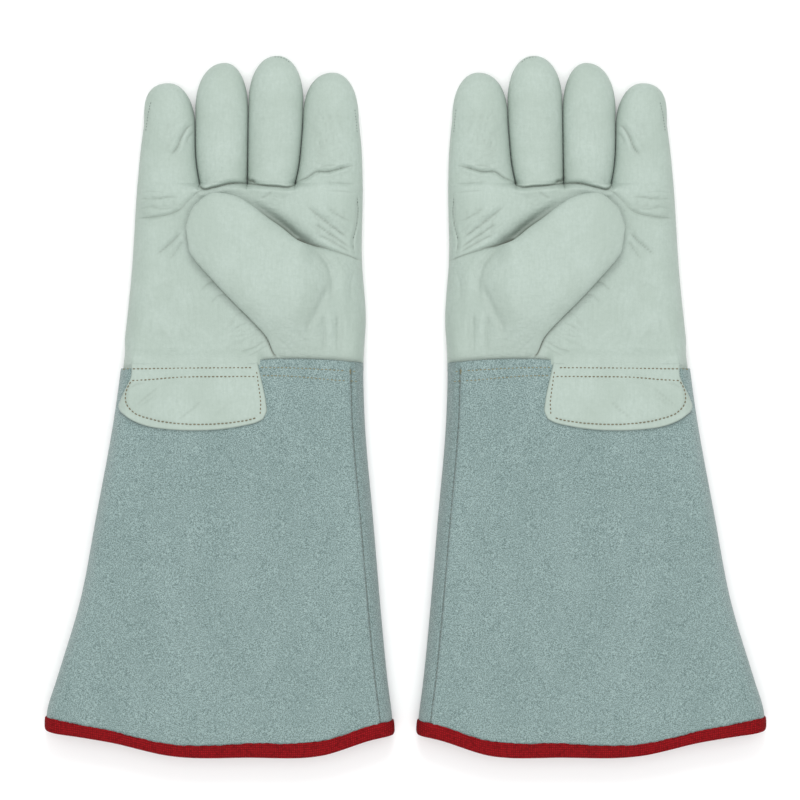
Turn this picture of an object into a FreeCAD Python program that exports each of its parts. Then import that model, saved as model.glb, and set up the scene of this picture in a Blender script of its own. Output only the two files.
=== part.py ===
"""A pair of mid-arm cryogenic gauntlet gloves, lying palm up on a flat surface.

Each glove is a grain leather hand over a quilted insulation, a split leather cuff that flares to a
bound hem, and a leather pulse patch over the wrist. Millimetres, +Z up, fingertips towards +Y.
The origin is on the surface, midway between the gloves. The left-hand glove is built at +X, and the
right-hand glove is its mirror image in the plane X = 0.
"""

import FreeCAD, Part
import math
import os
import Sketcher

SIZES = {
    # along the glove
    "fingertip_y": 225.0,
    "knuckle_y": 142.0,
    "wrist_y": 28.0,
    "hem_y": -225.0,
    # plan of the hand and the cuff, as distances from the plane between the gloves
    "hand_inner_x": 27.6,
    "knuckle_outer_x": 172.4,
    "wrist_outer_x": 182.0,
    "hem_inner_x": 7.5,
    "hem_outer_x": 234.0,
    "hem_low_x": 112.0,
    # how far the cuff's edges bow in half way down, as a share of the whole flare
    "flare_bow": 0.07,
    "hem_radius": 420.0,
    # each finger: middle of its root, middle of its tip, width at the root, tip, share it narrows by
    "index_root_x": 47.0,
    "index_tip_x": 47.8,
    "index_width": 38.2,
    "index_tip_y": 215.0,
    "index_taper": 0.2,
    "middle_root_x": 83.45,
    "middle_tip_x": 82.9,
    "middle_width": 33.5,
    "middle_tip_y": 225.0,
    "middle_taper": 0.06,
    "ring_root_x": 117.2,
    "ring_tip_x": 116.9,
    "ring_width": 32.8,
    "ring_tip_y": 220.5,
    "ring_taper": 0.06,
    "little_root_x": 153.3,
    "little_tip_x": 152.9,
    "little_width": 38.2,
    "little_tip_y": 208.5,
    "little_taper": 0.22,
    # the thumb, in its own frame: across the palm from the fold line, and along the fold line
    "thumb_fold_x": 70.9,
    "thumb_fold_y": 67.4,
    "thumb_fold_angle": 72.7,
    "thumb_reach": 81.0,
    "thumb_drift": 31.0,
    "thumb_width": 73.0,
    "thumb_height": 18.0,
    "thumb_clearance": 0.5,
    "thumb_base_reach": 27.0,
    "thumb_hole_width": 44.0,
    "thumb_hole_reach": 20.0,
    # thicknesses and heights
    "finger_height": 22.0,
    "hand_height": 24.0,
    "leather": 1.3,
    "insulation": 3.0,
    "layer_gap": 0.15,
    "joint_gap": 0.15,
    "floor_trim": 0.3,
    "gusset_height": 6.0,
    "gusset_tip_setback": 12.0,
    # cuff trim
    "binding": 1.0,
    "binding_width": 9.0,
    "seam_inset_x": 9.0,
    "seam_angle": 5.7,
    "patch": 1.3,
    "patch_radius": 97.6,
    "patch_mid_x": 132.0,
    "patch_low_y": -15.5,
    "patch_inner_x": 90.5,
    "thread": 0.6,
    "thread_inset": 4.0,
    "row_offset": 4.0,
    "row_spacing": 5.3,
}

ROOM = 60.0  # reach of a trimming box past whatever it trims
NOSE = (  # share of a finger's length, then the shares of its full width and height there
    (0.0, 1.0, 1.0),
    (0.45, 1.0, 1.0),
    (0.70, 0.97, 0.98),
    (0.84, 0.87, 0.90),
    (0.92, 0.72, 0.76),
    (0.97, 0.52, 0.56),
    (1.0, 0.27, 0.28),
)
THUMB = (  # share of the thumb's reach, of its drift along the fold, of its width and of its height
    (0.0, 0.0, 1.0, 1.0),
    (0.21, 0.31, 0.92, 1.0),
    (0.48, 0.68, 0.88, 1.0),
    (0.72, 0.90, 0.75, 0.96),
    (0.88, 0.99, 0.56, 0.80),
    (0.96, 1.0, 0.36, 0.58),
    (1.0, 1.0, 0.18, 0.34),
)
THUMB_BASE = (  # share of the base's reach, of the thumb's width and of its height
    (0.0, 1.0, 1.0),
    (0.37, 0.98, 0.84),
    (0.74, 0.93, 0.52),
    (1.0, 0.82, 0.22),
)
CUFF_STATIONS = 6
FINGERS = {  # how far each finger's gusset strips may reach to its two sides
    "index": (0, ROOM),
    "middle": (ROOM, ROOM),
    "ring": (ROOM, ROOM),
    "little": (ROOM, 0),
}

doc = FreeCAD.newDocument("cryogenic_gloves")
sheet = doc.addObject("Spreadsheet::Sheet", "Sizes")
sub_parts = []


def fill_sheet():
    for row, (alias, value) in enumerate(SIZES.items(), start=1):
        sheet.set(f"A{row}", alias)
        sheet.set(f"B{row}", str(value))
        sheet.setAlias(f"B{row}", alias)
    doc.recompute()


def size(expression):
    """An expression with every size's name replaced by its spreadsheet cell."""
    out, word = "", ""
    for letter in expression + " ":
        if letter.isalnum() or letter == "_":
            word += letter
            continue
        out += ("Sizes." + word if word in SIZES else word) + letter
        word = ""
    return out.strip()


def number(expression):
    return float(sheet.evalExpression(size(expression)))


def bind(item, **expressions):
    for key, expression in expressions.items():
        item.setExpression(key.replace("__", "."), size(expression))


# ---- closed outlines and the tubes lofted through them ----


def section(body, name, station, inset):
    """A flat-sided oval across the body's Y axis. A station is y, x, z, width and height."""
    y, x, z, width, height = station
    sketch = body.newObject("Sketcher::SketchObject", name)
    across = [plane for plane in body.Origin.OriginFeatures if plane.Role == "XZ_Plane"][0]
    sketch.AttachmentSupport = [(across, "")]
    sketch.MapMode = "FlatFace"
    span = f"({width}) - ({height})"
    tall = f"({height})"
    if inset:
        width, tall = inset(width), inset(height)
        span = f"({width}) - ({tall})"
    a, r = number(span) / 2, number(tall) / 2
    point, up = FreeCAD.Vector, FreeCAD.Vector(0, 0, 1)
    quarter = math.pi / 2
    sketch.addGeometry(
        [
            Part.LineSegment(point(-a, r, 0), point(a, r, 0)),
            Part.ArcOfCircle(Part.Circle(point(a, 0, 0), up, r), -quarter, quarter),
            Part.LineSegment(point(a, -r, 0), point(-a, -r, 0)),
            Part.ArcOfCircle(Part.Circle(point(-a, 0, 0), up, r), quarter, 3 * quarter),
        ],
        False,
    )
    rule = Sketcher.Constraint
    sketch.addConstraint(
        [
            rule("Coincident", 0, 2, 1, 2),
            rule("Coincident", 1, 1, 2, 1),
            rule("Coincident", 2, 2, 3, 2),
            rule("Coincident", 3, 1, 0, 1),
            rule("Symmetric", 0, 1, 0, 2, -2),
            rule("Symmetric", 2, 2, 2, 1, -2),
            rule("Symmetric", 0, 2, 2, 1, -1),
            rule("Vertical", 1, 3, 0, 2),
            rule("Vertical", 3, 3, 0, 1),
            rule("DistanceX", 0, 1, 0, 2, 2 * a),
            rule("DistanceY", 2, 1, 0, 2, 2 * r),
        ]
    )
    sketch.renameConstraint(9, "span")
    sketch.renameConstraint(10, "tall")
    bind(sketch, Constraints__span=span, Constraints__tall=tall)
    sketch.setExpression(".AttachmentOffset.Base.x", size(x))
    sketch.setExpression(".AttachmentOffset.Base.y", size(z))
    sketch.setExpression(".AttachmentOffset.Base.z", size(f"-({y})"))
    return sketch


def loft(body, kind, name, stations, inset=None):
    """A straight-ruled loft through the stations. inset narrows every width and height."""
    sketches = [
        section(body, f"{name}_{i}", station, inset) for i, station in enumerate(stations)
    ]
    feature = body.newObject(f"PartDesign::{kind}", name)
    feature.Profile = sketches[0]
    feature.Sections = sketches[1:]
    feature.Ruled = True
    doc.recompute()
    return feature


def narrowed(by):
    """Takes twice the expression by off a width or a height."""
    return lambda length: f"({length}) - 2 * ({by})"


def tube(name, stations, outer, inner):
    """A hollow body between two insets of the same stations, open at its first station."""
    body = doc.addObject("PartDesign::Body", name)
    loft(body, "AdditiveLoft", f"{name}_outside", stations(outer), narrowed(outer))
    cavity = stations(inner)
    first = (f"{cavity[0][0]} - 1",) + cavity[0][1:]
    loft(body, "SubtractiveLoft", f"{name}_inside", [first] + cavity, narrowed(inner))
    return body


# ---- trimming tools and booleans ----


def box(name, x, y, z):
    """A box between two expressions along each axis."""
    made = doc.addObject("Part::Box", name)
    bind(made, Length=f"({x[1]}) - ({x[0]})", Width=f"({y[1]}) - ({y[0]})")
    bind(made, Height=f"({z[1]}) - ({z[0]})")
    bind(made, Placement__Base__x=x[0], Placement__Base__y=y[0], Placement__Base__z=z[0])
    return made


def disc(name, x, y, radius):
    """A tall upright cylinder that trims everything outside it."""
    made = doc.addObject("Part::Cylinder", name)
    bind(made, Radius=radius, Height=f"3 * {ROOM}")
    bind(made, Placement__Base__x=x, Placement__Base__y=y, Placement__Base__z=f"-{ROOM}")
    return made


def boolean(kind, name, first, second):
    made = doc.addObject(f"Part::{kind}", name)
    if kind == "MultiFuse":
        made.Shapes = [first, second]
    else:
        made.Base, made.Tool = first, second
    return made


def keep(item, label):
    """Makes an object a sub-part of the left-hand glove and mirrors it for the right-hand glove."""
    item.Label = f"left_{label}"
    twin = doc.addObject("Part::Mirroring", f"right_{label}_twin")
    twin.Source = item
    twin.Normal = (1, 0, 0)
    twin.Label = f"right_{label}"
    sub_parts.extend([item, twin])


# ---- fingers ----


def finger_stations(name):
    start = "(knuckle_y + joint_gap)"

    def stations(inset):
        run = f"({name}_tip_y - ({inset}) - {start})"
        return [
            (
                f"{start} + {run} * {along}",
                f"{name}_root_x + ({name}_tip_x - {name}_root_x) * {along}",
                "finger_height / 2 - floor_trim",
                f"{name}_width * (1 - {name}_taper * {along}) * {wide} + 2 * ({inset}) * (1 - {wide})",
                f"finger_height * {tall} + 2 * ({inset}) * (1 - {tall})",
            )
            for along, wide, tall in NOSE
        ]

    return stations


def finger(name, gusset_from, gusset_to):
    """Leather front, back and gusset strips round one finger, over a closed insulation sleeve."""
    mid = "finger_height / 2 - floor_trim"
    shell = tube(f"{name}_shell", finger_stations(name), "0", "leather")
    strip = box(
        f"{name}_strip",
        (gusset_from, gusset_to),
        (f"knuckle_y - {ROOM}", f"{name}_tip_y - gusset_tip_setback"),
        (f"{mid} - gusset_height / 2", f"{mid} + gusset_height / 2"),
    )
    side = (f"{name}_root_x - {ROOM}", f"{name}_root_x + {ROOM}")
    run = ("knuckle_y", f"fingertip_y + {ROOM}")
    above = box(f"{name}_above", side, run, (mid, f"{mid} + {ROOM}"))
    below = box(f"{name}_below", side, run, ("0", mid))
    panels = boolean("Cut", f"{name}_panels", shell, strip)
    keep(boolean("Common", f"{name}_front_half", panels, above), f"{name}_front")
    keep(boolean("Common", f"{name}_back_half", panels, below), f"{name}_back")
    keep(boolean("Common", f"{name}_strips", shell, strip), f"{name}_gusset")
    sleeve = tube(
        f"{name}_sleeve",
        finger_stations(name),
        "leather + layer_gap",
        "leather + layer_gap + insulation",
    )
    keep(sleeve, f"{name}_insulation")


def fingers():
    for name, (inward, outward) in FINGERS.items():
        finger(name, f"{name}_root_x - {inward}", f"{name}_root_x + {outward}")


# ---- thumb ----


def into_thumb_frame(item):
    """Turns an object from the thumb's frame, +Y across the palm, to its place on the glove."""
    item.Placement.Rotation = FreeCAD.Rotation(FreeCAD.Vector(0, 0, 1), 0)
    bind(item, Placement__Base__x="thumb_fold_x", Placement__Base__y="thumb_fold_y")
    bind(item, Placement__Rotation__Angle="-thumb_fold_angle")


def thumb_stations(inset):
    z = "hand_height - floor_trim + thumb_clearance + thumb_height / 2"
    return [
        (
            f"joint_gap + (thumb_reach - ({inset}) - joint_gap) * {along}",
            f"-thumb_drift * {drift}",
            z,
            f"thumb_width * {wide} + 2 * ({inset}) * (1 - {wide})",
            f"thumb_height * {tall} + 2 * ({inset}) * (1 - {tall})",
        )
        for along, drift, wide, tall in THUMB
    ]


def thumb_base_stations(inset):
    return [
        (
            f"joint_gap + (thumb_base_reach - ({inset}) - joint_gap) * {along}",
            "0",
            "hand_height - floor_trim + layer_gap",
            f"thumb_width * {wide}",
            f"2 * thumb_height * {tall}",
        )
        for along, wide, tall in THUMB_BASE
    ]


def thumb():
    """The thumb lies folded across the palm, with a leather base that joins it to the hand."""
    mid = "hand_height - floor_trim + thumb_clearance + thumb_height / 2"
    everywhere = (f"-4 * {ROOM}", f"4 * {ROOM}")
    over = ("0", f"6 * {ROOM}")
    above = box("thumb_above", over, everywhere, (mid, f"{mid} + {ROOM}"))
    below = box("thumb_below", over, everywhere, ("0", mid))
    shell = tube("thumb_shell", thumb_stations, "0", "leather")
    into_thumb_frame(shell)
    keep(boolean("Common", "thumb_upper_half", shell, above), "thumb_outer_panel")
    keep(boolean("Common", "thumb_lower_half", shell, below), "thumb_inner_panel")
    sleeve = tube(
        "thumb_sleeve",
        thumb_stations,
        "leather + layer_gap",
        "leather + layer_gap + insulation",
    )
    into_thumb_frame(sleeve)
    keep(sleeve, "thumb_insulation")
    dome = tube("thumb_base_shell", thumb_base_stations, "0", "leather")
    into_thumb_frame(dome)
    bind(dome, Placement__Rotation__Angle="180 - thumb_fold_angle")
    top = "hand_height - floor_trim + layer_gap"
    lid = box("thumb_base_above", over, everywhere, (top, f"{top} + {ROOM}"))
    keep(boolean("Common", "thumb_base_half", dome, lid), "thumb_base")


def thumb_hole():
    """The opening in the palm, under the thumb's base, that the thumb goes through."""
    hole = box(
        "thumb_hole",
        ("-thumb_hole_width / 2", "thumb_hole_width / 2"),
        ("0", "thumb_hole_reach"),
        ("hand_height / 2", "2 * hand_height"),
    )
    for key in ("x", "y"):
        hole.setExpression(f"Placement.Base.{key}", None)
    hole.Placement.Rotation = FreeCAD.Rotation(FreeCAD.Vector(0, 0, 1), 0)
    turn = "180 - thumb_fold_angle"
    half = "thumb_hole_width / 2"
    bind(hole, Placement__Rotation__Angle=turn)
    bind(hole, Placement__Base__x=f"thumb_fold_x - {half} * cos({turn}) - 2 * sin({turn})")
    bind(hole, Placement__Base__y=f"thumb_fold_y - {half} * sin({turn}) + 2 * cos({turn})")
    return hole


# ---- hand ----


def hand_stations(inset):
    ends = (("wrist_y + joint_gap", "wrist_outer_x"), ("knuckle_y - joint_gap", "knuckle_outer_x"))
    return [
        (
            y,
            f"({outer} + hand_inner_x) / 2",
            "hand_height / 2 - floor_trim",
            f"{outer} - hand_inner_x",
            "hand_height",
        )
        for y, outer in ends
    ]


def through(name, stations, outer, inner):
    """A hollow body open at both ends."""
    body = tube(name, stations, outer, inner)
    last = stations(inner)[-1]
    mouth = [last, (f"{last[0]} + 1",) + last[1:]]
    loft(body, "SubtractiveLoft", f"{name}_mouth", mouth, narrowed(inner))
    return body


def hand():
    """Palm and back leather, and the insulation between them, open to the fingers and the cuff."""
    mid = "hand_height / 2 - floor_trim"
    side = (f"-{ROOM}", f"6 * {ROOM}")
    run = ("wrist_y", "knuckle_y")
    shell = through("hand_shell", hand_stations, "0", "leather")
    palm = boolean("Common", "palm_half", shell, box("palm_side", side, run, (mid, f"2 * {ROOM}")))
    keep(boolean("Cut", "palm_panel_holed", palm, thumb_hole()), "palm_panel")
    keep(boolean("Common", "back_half", shell, box("back_side", side, run, ("0", mid))), "back_panel")
    layer = through(
        "hand_layer",
        hand_stations,
        "leather + layer_gap",
        "leather + layer_gap + insulation",
    )
    keep(boolean("Cut", "hand_layer_holed", layer, doc.getObject("thumb_hole")), "hand_insulation")


# ---- cuff ----


def cuff_stations(inset):
    def edge(wrist, hem, flare):
        return f"({wrist} + ({hem} - {wrist}) * {flare})"

    stations = []
    for number_down in range(CUFF_STATIONS):
        along = round(number_down / (CUFF_STATIONS - 1), 3)
        bow = round(math.sin(math.pi * along), 3)
        flare = f"({along} - flare_bow * {bow})"
        outer = edge("wrist_outer_x", "hem_outer_x", flare)
        inner = edge("hand_inner_x", "hem_inner_x", flare)
        stations.append(
            (
                f"wrist_y - joint_gap + (hem_y - 1 - wrist_y) * {along}",
                f"({outer} + {inner}) / 2",
                f"hand_height / 2 - floor_trim + binding * {along}",
                f"{outer} - {inner}",
                "hand_height",
            )
        )
    return stations


def cuff_tube(name, outer, inner):
    """A hollow flared tube, open at the wrist and running past the hem."""
    stations = cuff_stations("0")
    body = doc.addObject("PartDesign::Body", name)
    loft(body, "AdditiveLoft", f"{name}_outside", stations, narrowed(outer))
    before = (f"{stations[0][0]} + 1",) + stations[0][1:]
    after = (f"{stations[-1][0]} - 1",) + stations[-1][1:]
    cavity = [before] + stations + [after]
    loft(body, "SubtractiveLoft", f"{name}_inside", cavity, narrowed(inner))
    return body


def hem_disc(name, setback):
    """Everything inside the hem's arc, less a setback from it."""
    return disc(name, "hem_low_x", "hem_y + hem_radius", f"hem_radius - ({setback})")


def seam_plane_box(name, shift, thickness):
    """An upright slab whose inner face stands on the cuff's side seam."""
    made = doc.addObject("Part::Box", name)
    bind(made, Length=thickness, Width=f"8 * {ROOM}", Height=f"2 * {ROOM}")
    made.Placement.Rotation = FreeCAD.Rotation(FreeCAD.Vector(0, 0, 1), 0)
    reach = f"4 * {ROOM}"
    start_x = f"hand_inner_x + seam_inset_x + {shift}"
    bind(made, Placement__Rotation__Angle="-seam_angle")
    bind(made, Placement__Base__x=f"{start_x} - {reach} * sin(seam_angle)")
    bind(made, Placement__Base__y=f"wrist_y - {reach} * cos(seam_angle)")
    bind(made, Placement__Base__z="hand_height / 2")
    return made


def cuff():
    """Front and back split leather, their insulation, and the red binding round the hem."""
    floor = box("cuff_floor", (f"-{ROOM}", f"6 * {ROOM}"), ("hem_y - 10", "wrist_y"), ("0", f"2 * {ROOM}"))
    inside_hem = hem_disc("cuff_hem", "binding")
    leather = boolean("Common", "cuff_leather", cuff_tube("cuff_shell", "0", "leather"), inside_hem)
    leather = boolean("Common", "cuff_leather_flat", leather, floor)
    front = seam_plane_box("cuff_front_side", "0", f"6 * {ROOM}")
    front_panel = boolean("Common", "cuff_front_half", leather, front)
    back_panel = boolean("Cut", "cuff_back_half", leather, front)
    keep(front_panel, "cuff_front_panel")
    keep(back_panel, "cuff_back_panel")
    layer = cuff_tube("cuff_layer", "leather + layer_gap", "leather + layer_gap + insulation")
    layer = boolean("Common", "cuff_layer_trimmed", layer, inside_hem)
    keep(layer, "cuff_insulation")
    wrap = cuff_tube("binding_shell", "-binding", "leather + layer_gap + insulation + binding")
    wrap = boolean("Common", "binding_wrap", wrap, hem_disc("binding_hem", "0"))
    wrap = boolean("Common", "binding_flat", wrap, floor)
    wrap = boolean("Cut", "binding_band", wrap, hem_disc("binding_top", "binding_width"))
    wrap = boolean("Cut", "binding_over_leather", wrap, leather)
    keep(boolean("Cut", "binding_channel", wrap, layer), "hem_binding")


# ---- pulse patch and sewing thread ----


def half_moon(name, inset):
    """The pulse patch's outline as an upright block: a round lower edge under straight sides."""
    round_edge = disc(
        f"{name}_round",
        "patch_mid_x",
        "patch_low_y + patch_radius",
        f"patch_radius - ({inset})",
    )
    sides = box(
        f"{name}_sides",
        (f"patch_inner_x + ({inset})", f"wrist_outer_x + 3 - 1.7 * ({inset})"),
        (f"patch_low_y - {ROOM}", f"wrist_y - joint_gap - ({inset}) / 4"),
        ("hand_height / 2 - floor_trim", f"2 * {ROOM}"),
    )
    return boolean("Common", name, round_edge, sides)


def patch():
    cover = cuff_tube("patch_cover", "-patch - layer_gap", "-layer_gap")
    keep(boolean("Common", "patch_piece", cover, half_moon("patch_outline", "0")), "pulse_patch")


def row_box(name, row, x):
    """A slab across the wrist that holds one row of stitching."""
    low = f"wrist_y - row_offset - row_spacing * {row}"
    return box(name, x, (f"{low} - thread", low), ("hand_height / 2", f"2 * {ROOM}"))


def threads():
    """Thread lies on the leather as thin ribs: on the patch, across the wrist and down the seam."""
    on_patch = cuff_tube(
        "patch_thread_layer", "-patch - 2 * layer_gap - thread", "-patch - 2 * layer_gap"
    )
    inner = half_moon("patch_thread_inner", "thread_inset + thread")
    ring = boolean("Cut", "patch_ring", half_moon("patch_thread_outer", "thread_inset"), inner)
    across = row_box("patch_row", 1, ("patch_inner_x + thread_inset", "wrist_outer_x - 6"))
    ring = boolean("MultiFuse", "patch_ring_and_row", ring, across)
    keep(boolean("Common", "patch_stitches", on_patch, ring), "patch_thread")
    on_cuff = cuff_tube("cuff_thread_layer", "-thread - layer_gap", "-layer_gap")
    plain = ("hand_inner_x - 5", "patch_inner_x - 1")
    rows = boolean("MultiFuse", "wrist_rows", row_box("row_0", 0, plain), row_box("row_1", 1, plain))
    seam = seam_plane_box("cuff_seam", "1.5", "thread")
    rows = boolean("MultiFuse", "cuff_rows", rows, seam)
    above_binding = hem_disc("thread_end", "binding_width + 1")
    rows = boolean("Common", "cuff_rows_trimmed", rows, above_binding)
    keep(boolean("Common", "cuff_stitches", on_cuff, rows), "cuff_thread")


def check_and_write():
    doc.recompute()
    for item in doc.Objects:
        bad = {"Invalid", "Error"} & set(item.State)
        if bad:
            raise RuntimeError(f"{item.Label} is {sorted(bad)}")
    for item in sub_parts:
        shape = item.Shape
        if shape.isNull() or not shape.isValid() or not shape.Solids or shape.Volume <= 0:
            raise RuntimeError(f"{item.Label} has no valid solid")
    os.makedirs("parts", exist_ok=True)
    for item in sub_parts:
        item.Shape.exportStep(os.path.join("parts", f"{item.Label}.step"))
        if item.Label.startswith("left_"):
            volume = item.Shape.Volume / 1000
            print(f"{item.Label}: {len(item.Shape.Solids)} solid(s), {volume:.2f} cm3")
    print(f"{len(sub_parts)} sub-parts written")


fill_sheet()
fingers()
thumb()
hand()
cuff()
patch()
threads()
check_and_write()
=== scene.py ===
import bpy
import mathutils
import numpy as np
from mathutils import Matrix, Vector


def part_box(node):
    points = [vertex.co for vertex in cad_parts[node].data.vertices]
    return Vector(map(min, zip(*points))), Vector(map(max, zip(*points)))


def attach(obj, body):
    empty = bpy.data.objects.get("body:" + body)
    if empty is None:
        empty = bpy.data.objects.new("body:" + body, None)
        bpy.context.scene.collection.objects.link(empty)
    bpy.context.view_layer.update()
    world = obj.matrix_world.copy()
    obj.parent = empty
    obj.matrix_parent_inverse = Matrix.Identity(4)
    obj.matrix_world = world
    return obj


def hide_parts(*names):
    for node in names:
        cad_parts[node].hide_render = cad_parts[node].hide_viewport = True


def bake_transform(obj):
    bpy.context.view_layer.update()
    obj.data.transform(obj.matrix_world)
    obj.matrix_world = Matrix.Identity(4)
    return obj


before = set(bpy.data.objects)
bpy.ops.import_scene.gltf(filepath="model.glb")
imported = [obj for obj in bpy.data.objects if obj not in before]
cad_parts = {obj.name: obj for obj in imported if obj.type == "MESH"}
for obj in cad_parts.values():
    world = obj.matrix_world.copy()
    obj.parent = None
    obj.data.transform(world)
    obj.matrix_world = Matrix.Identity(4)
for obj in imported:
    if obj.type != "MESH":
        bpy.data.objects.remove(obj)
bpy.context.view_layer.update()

# Shapes are worked out in millimetres for the left-hand glove: x is the distance from the plane
# between the gloves, and the right-hand glove is the mirror image.
MM = 0.001
REACH = 24.0  # distances to a line are only worked out this near to its box


def cad(node):
    low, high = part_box(node)
    return np.array(low) / MM, np.array(high) / MM


PALM_LOW, PALM_HIGH = cad("left_palm_panel")
KNUCKLE = PALM_HIGH[1]
WRIST = PALM_LOW[1]
SPLIT = KNUCKLE + 1.7  # fingers and palm part here
ROWS_END = WRIST - 4.5

# ---- small numeric tools ----


def smooth(x, knots):
    """A cubic through knots (x, value, ...), clamped to the first and last."""
    kx = np.array([k[0] for k in knots], float)
    ky = np.array([k[1:] for k in knots], float)
    slope = np.gradient(ky, kx, axis=0)
    x = np.clip(np.asarray(x, float), kx[0], kx[-1])
    i = np.clip(np.searchsorted(kx, x) - 1, 0, len(kx) - 2)
    h = kx[i + 1] - kx[i]
    t = ((x - kx[i]) / h)[..., None]
    h = h[..., None]
    out = (2 * t**3 - 3 * t**2 + 1) * ky[i] + (t**3 - 2 * t**2 + t) * h * slope[i]
    out += (3 * t**2 - 2 * t**3) * ky[i + 1] + (t**3 - t**2) * h * slope[i + 1]
    return out[..., 0] if ky.shape[1] == 1 else out


def share(x):
    """Held between 0 and 1."""
    return np.clip(x, 0, 1)


def step(x, low, high):
    """A smooth step from 0 at low to 1 at high."""
    t = share((np.asarray(x, float) - low) / (high - low))
    return t * t * (3 - 2 * t)


def quarter(e, r):
    """The rise of a quarter round of radius r at distance e from its edge, from 0 to 1."""
    return np.sqrt(share(1 - (1 - share(np.asarray(e, float) / r)) ** 2))


def crowned(x, low, high, r, inset=0.0):
    """1 between two edges, with a quarter round of radius r down to 0 at each, or inset from it."""
    return quarter(x - low - inset, r) * quarter(high - x - inset, r)


def bell(r, width):
    """A bell curve: 1 at r = 0, falling away on both sides."""
    return np.exp(-((r / width) ** 2))


def quads(rows, cols, wrap=False):
    """The faces of a grid of points, closed round its columns when wrap is set."""
    r = np.arange(rows - 1)[:, None]
    c = np.arange(cols if wrap else cols - 1)[None, :]
    a, b = r * cols + c, r * cols + (c + 1) % cols
    return np.stack([a, b, b + cols, a + cols], -1).reshape(-1, 4)


def noise(x, y, size, seed):
    """Smooth random heights from -1 to 1, with a bump about every size millimetres."""
    table = np.random.default_rng(seed).uniform(-1, 1, (64, 64))
    u, v = np.asarray(x, float) / size, np.asarray(y, float) / size
    i, j = np.floor(u).astype(int), np.floor(v).astype(int)
    u, v = u - i, v - j
    u, v = u * u * (3 - 2 * u), v * v * (3 - 2 * v)
    i, j, right, above = i % 64, j % 64, (i + 1) % 64, (j + 1) % 64
    low = table[i, j] * (1 - u) + table[right, j] * u
    high = table[i, above] * (1 - u) + table[right, above] * u
    return low * (1 - v) + high * v


def unit(rows):
    """Each row made one long."""
    return rows / np.maximum(np.linalg.norm(rows, axis=1, keepdims=True), 1e-12)


def uneven(x, y, bumps, base=0.0):
    """Noise of several sizes together, from rows of height, size and seed, on top of a base."""
    for height, size, seed in bumps:
        base = base + height * noise(x, y, size, seed)
    return base


def run_length(line):
    """How far along a polyline each of its points is."""
    return np.concatenate([[0], np.cumsum(np.linalg.norm(np.diff(line, axis=0), axis=1))])


def path(points, count=60):
    """Evenly spaced points along a smooth curve through a few points."""
    p = np.array(points, float)
    t = run_length(p)
    fine = smooth(np.linspace(0, t[-1], count * 4), [(a, *b) for a, b in zip(t, p)])
    run = run_length(fine)
    at = np.linspace(0, run[-1], count)
    return np.stack([np.interp(at, run, fine[:, k]) for k in range(p.shape[1])], 1)


def distance(x, y, line):
    """Distance from each point to a polyline, and how far along the line that is, from 0 to 1.

    Points beyond REACH of the line's box are taken as far away.
    """
    x, y = np.broadcast_arrays(np.asarray(x, float), np.asarray(y, float))
    far, none = np.full(x.shape, 1e9), np.zeros(x.shape)
    low, high = line.min(0) - REACH, line.max(0) + REACH
    close = (x > low[0]) & (x < high[0]) & (y > low[1]) & (y < high[1])
    x, y = x[close], y[close]
    best, where = np.full(x.shape, 1e9), np.zeros(x.shape)
    for i, (a, b) in enumerate(zip(line[:-1], line[1:])):
        d = b - a
        t = share(((x - a[0]) * d[0] + (y - a[1]) * d[1]) / max(d @ d, 1e-9))
        r = np.hypot(x - a[0] - t * d[0], y - a[1] - t * d[1])
        near = r < best
        best = np.where(near, r, best)
        where = np.where(near, (i + t) / (len(line) - 1), where)
    far[close], none[close] = best, where
    return far, none


def inside(x, y, outline):
    """Whether each point lies in a closed outline."""
    odd = np.zeros(np.shape(x), bool)
    for a, b in zip(outline, np.roll(outline, -1, axis=0)):
        crosses = (a[1] > y) != (b[1] > y)
        odd ^= crosses & (x < a[0] + (b[0] - a[0]) * (y - a[1]) / (b[1] - a[1] + 1e-12))
    return odd


# ---- outline of the glove: a knot, as (y, x), only where the edge turns ----

INNER_EDGE = [
    (-235, 8), (-205, 8), (-175, 11.5), (-75, 20.5), (0, 26.5), (30, 27), (56, 25.5), (95, 28), (145, 27.5),
    (170, 28.5), (190, 31), (205, 34.5),
]
OUTER_EDGE = [
    (-235, 229), (-210, 230.5), (-195, 230), (-175, 224), (-125, 209), (-70, 198.5), (0, 186), (30, 182),
    (85, 176), (145, 172), (170, 169.5), (205, 164),
]
HEM = [
    (0, -208.5), (15, -210), (55, -221.5), (100, -222.5), (150, -221.5), (190, -212.5), (230, -206.5),
    (245, -205),
]
TAPE_WIDTH = [(0, 10.2), (90, 9.4), (175, 7.8), (232, 9.6)]


def inner_edge(y):
    return smooth(y, INNER_EDGE)


def outer_edge(y):
    return smooth(y, OUTER_EDGE)


def hem(x):
    return smooth(x, HEM)


def curves(rows):
    """Puts a path through each row's points, and keeps its two numbers, such as a depth and a width."""
    return [(path(points), *numbers) for points, *numbers in rows]


# ---- creases of the leather: points, depth, width ----

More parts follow.
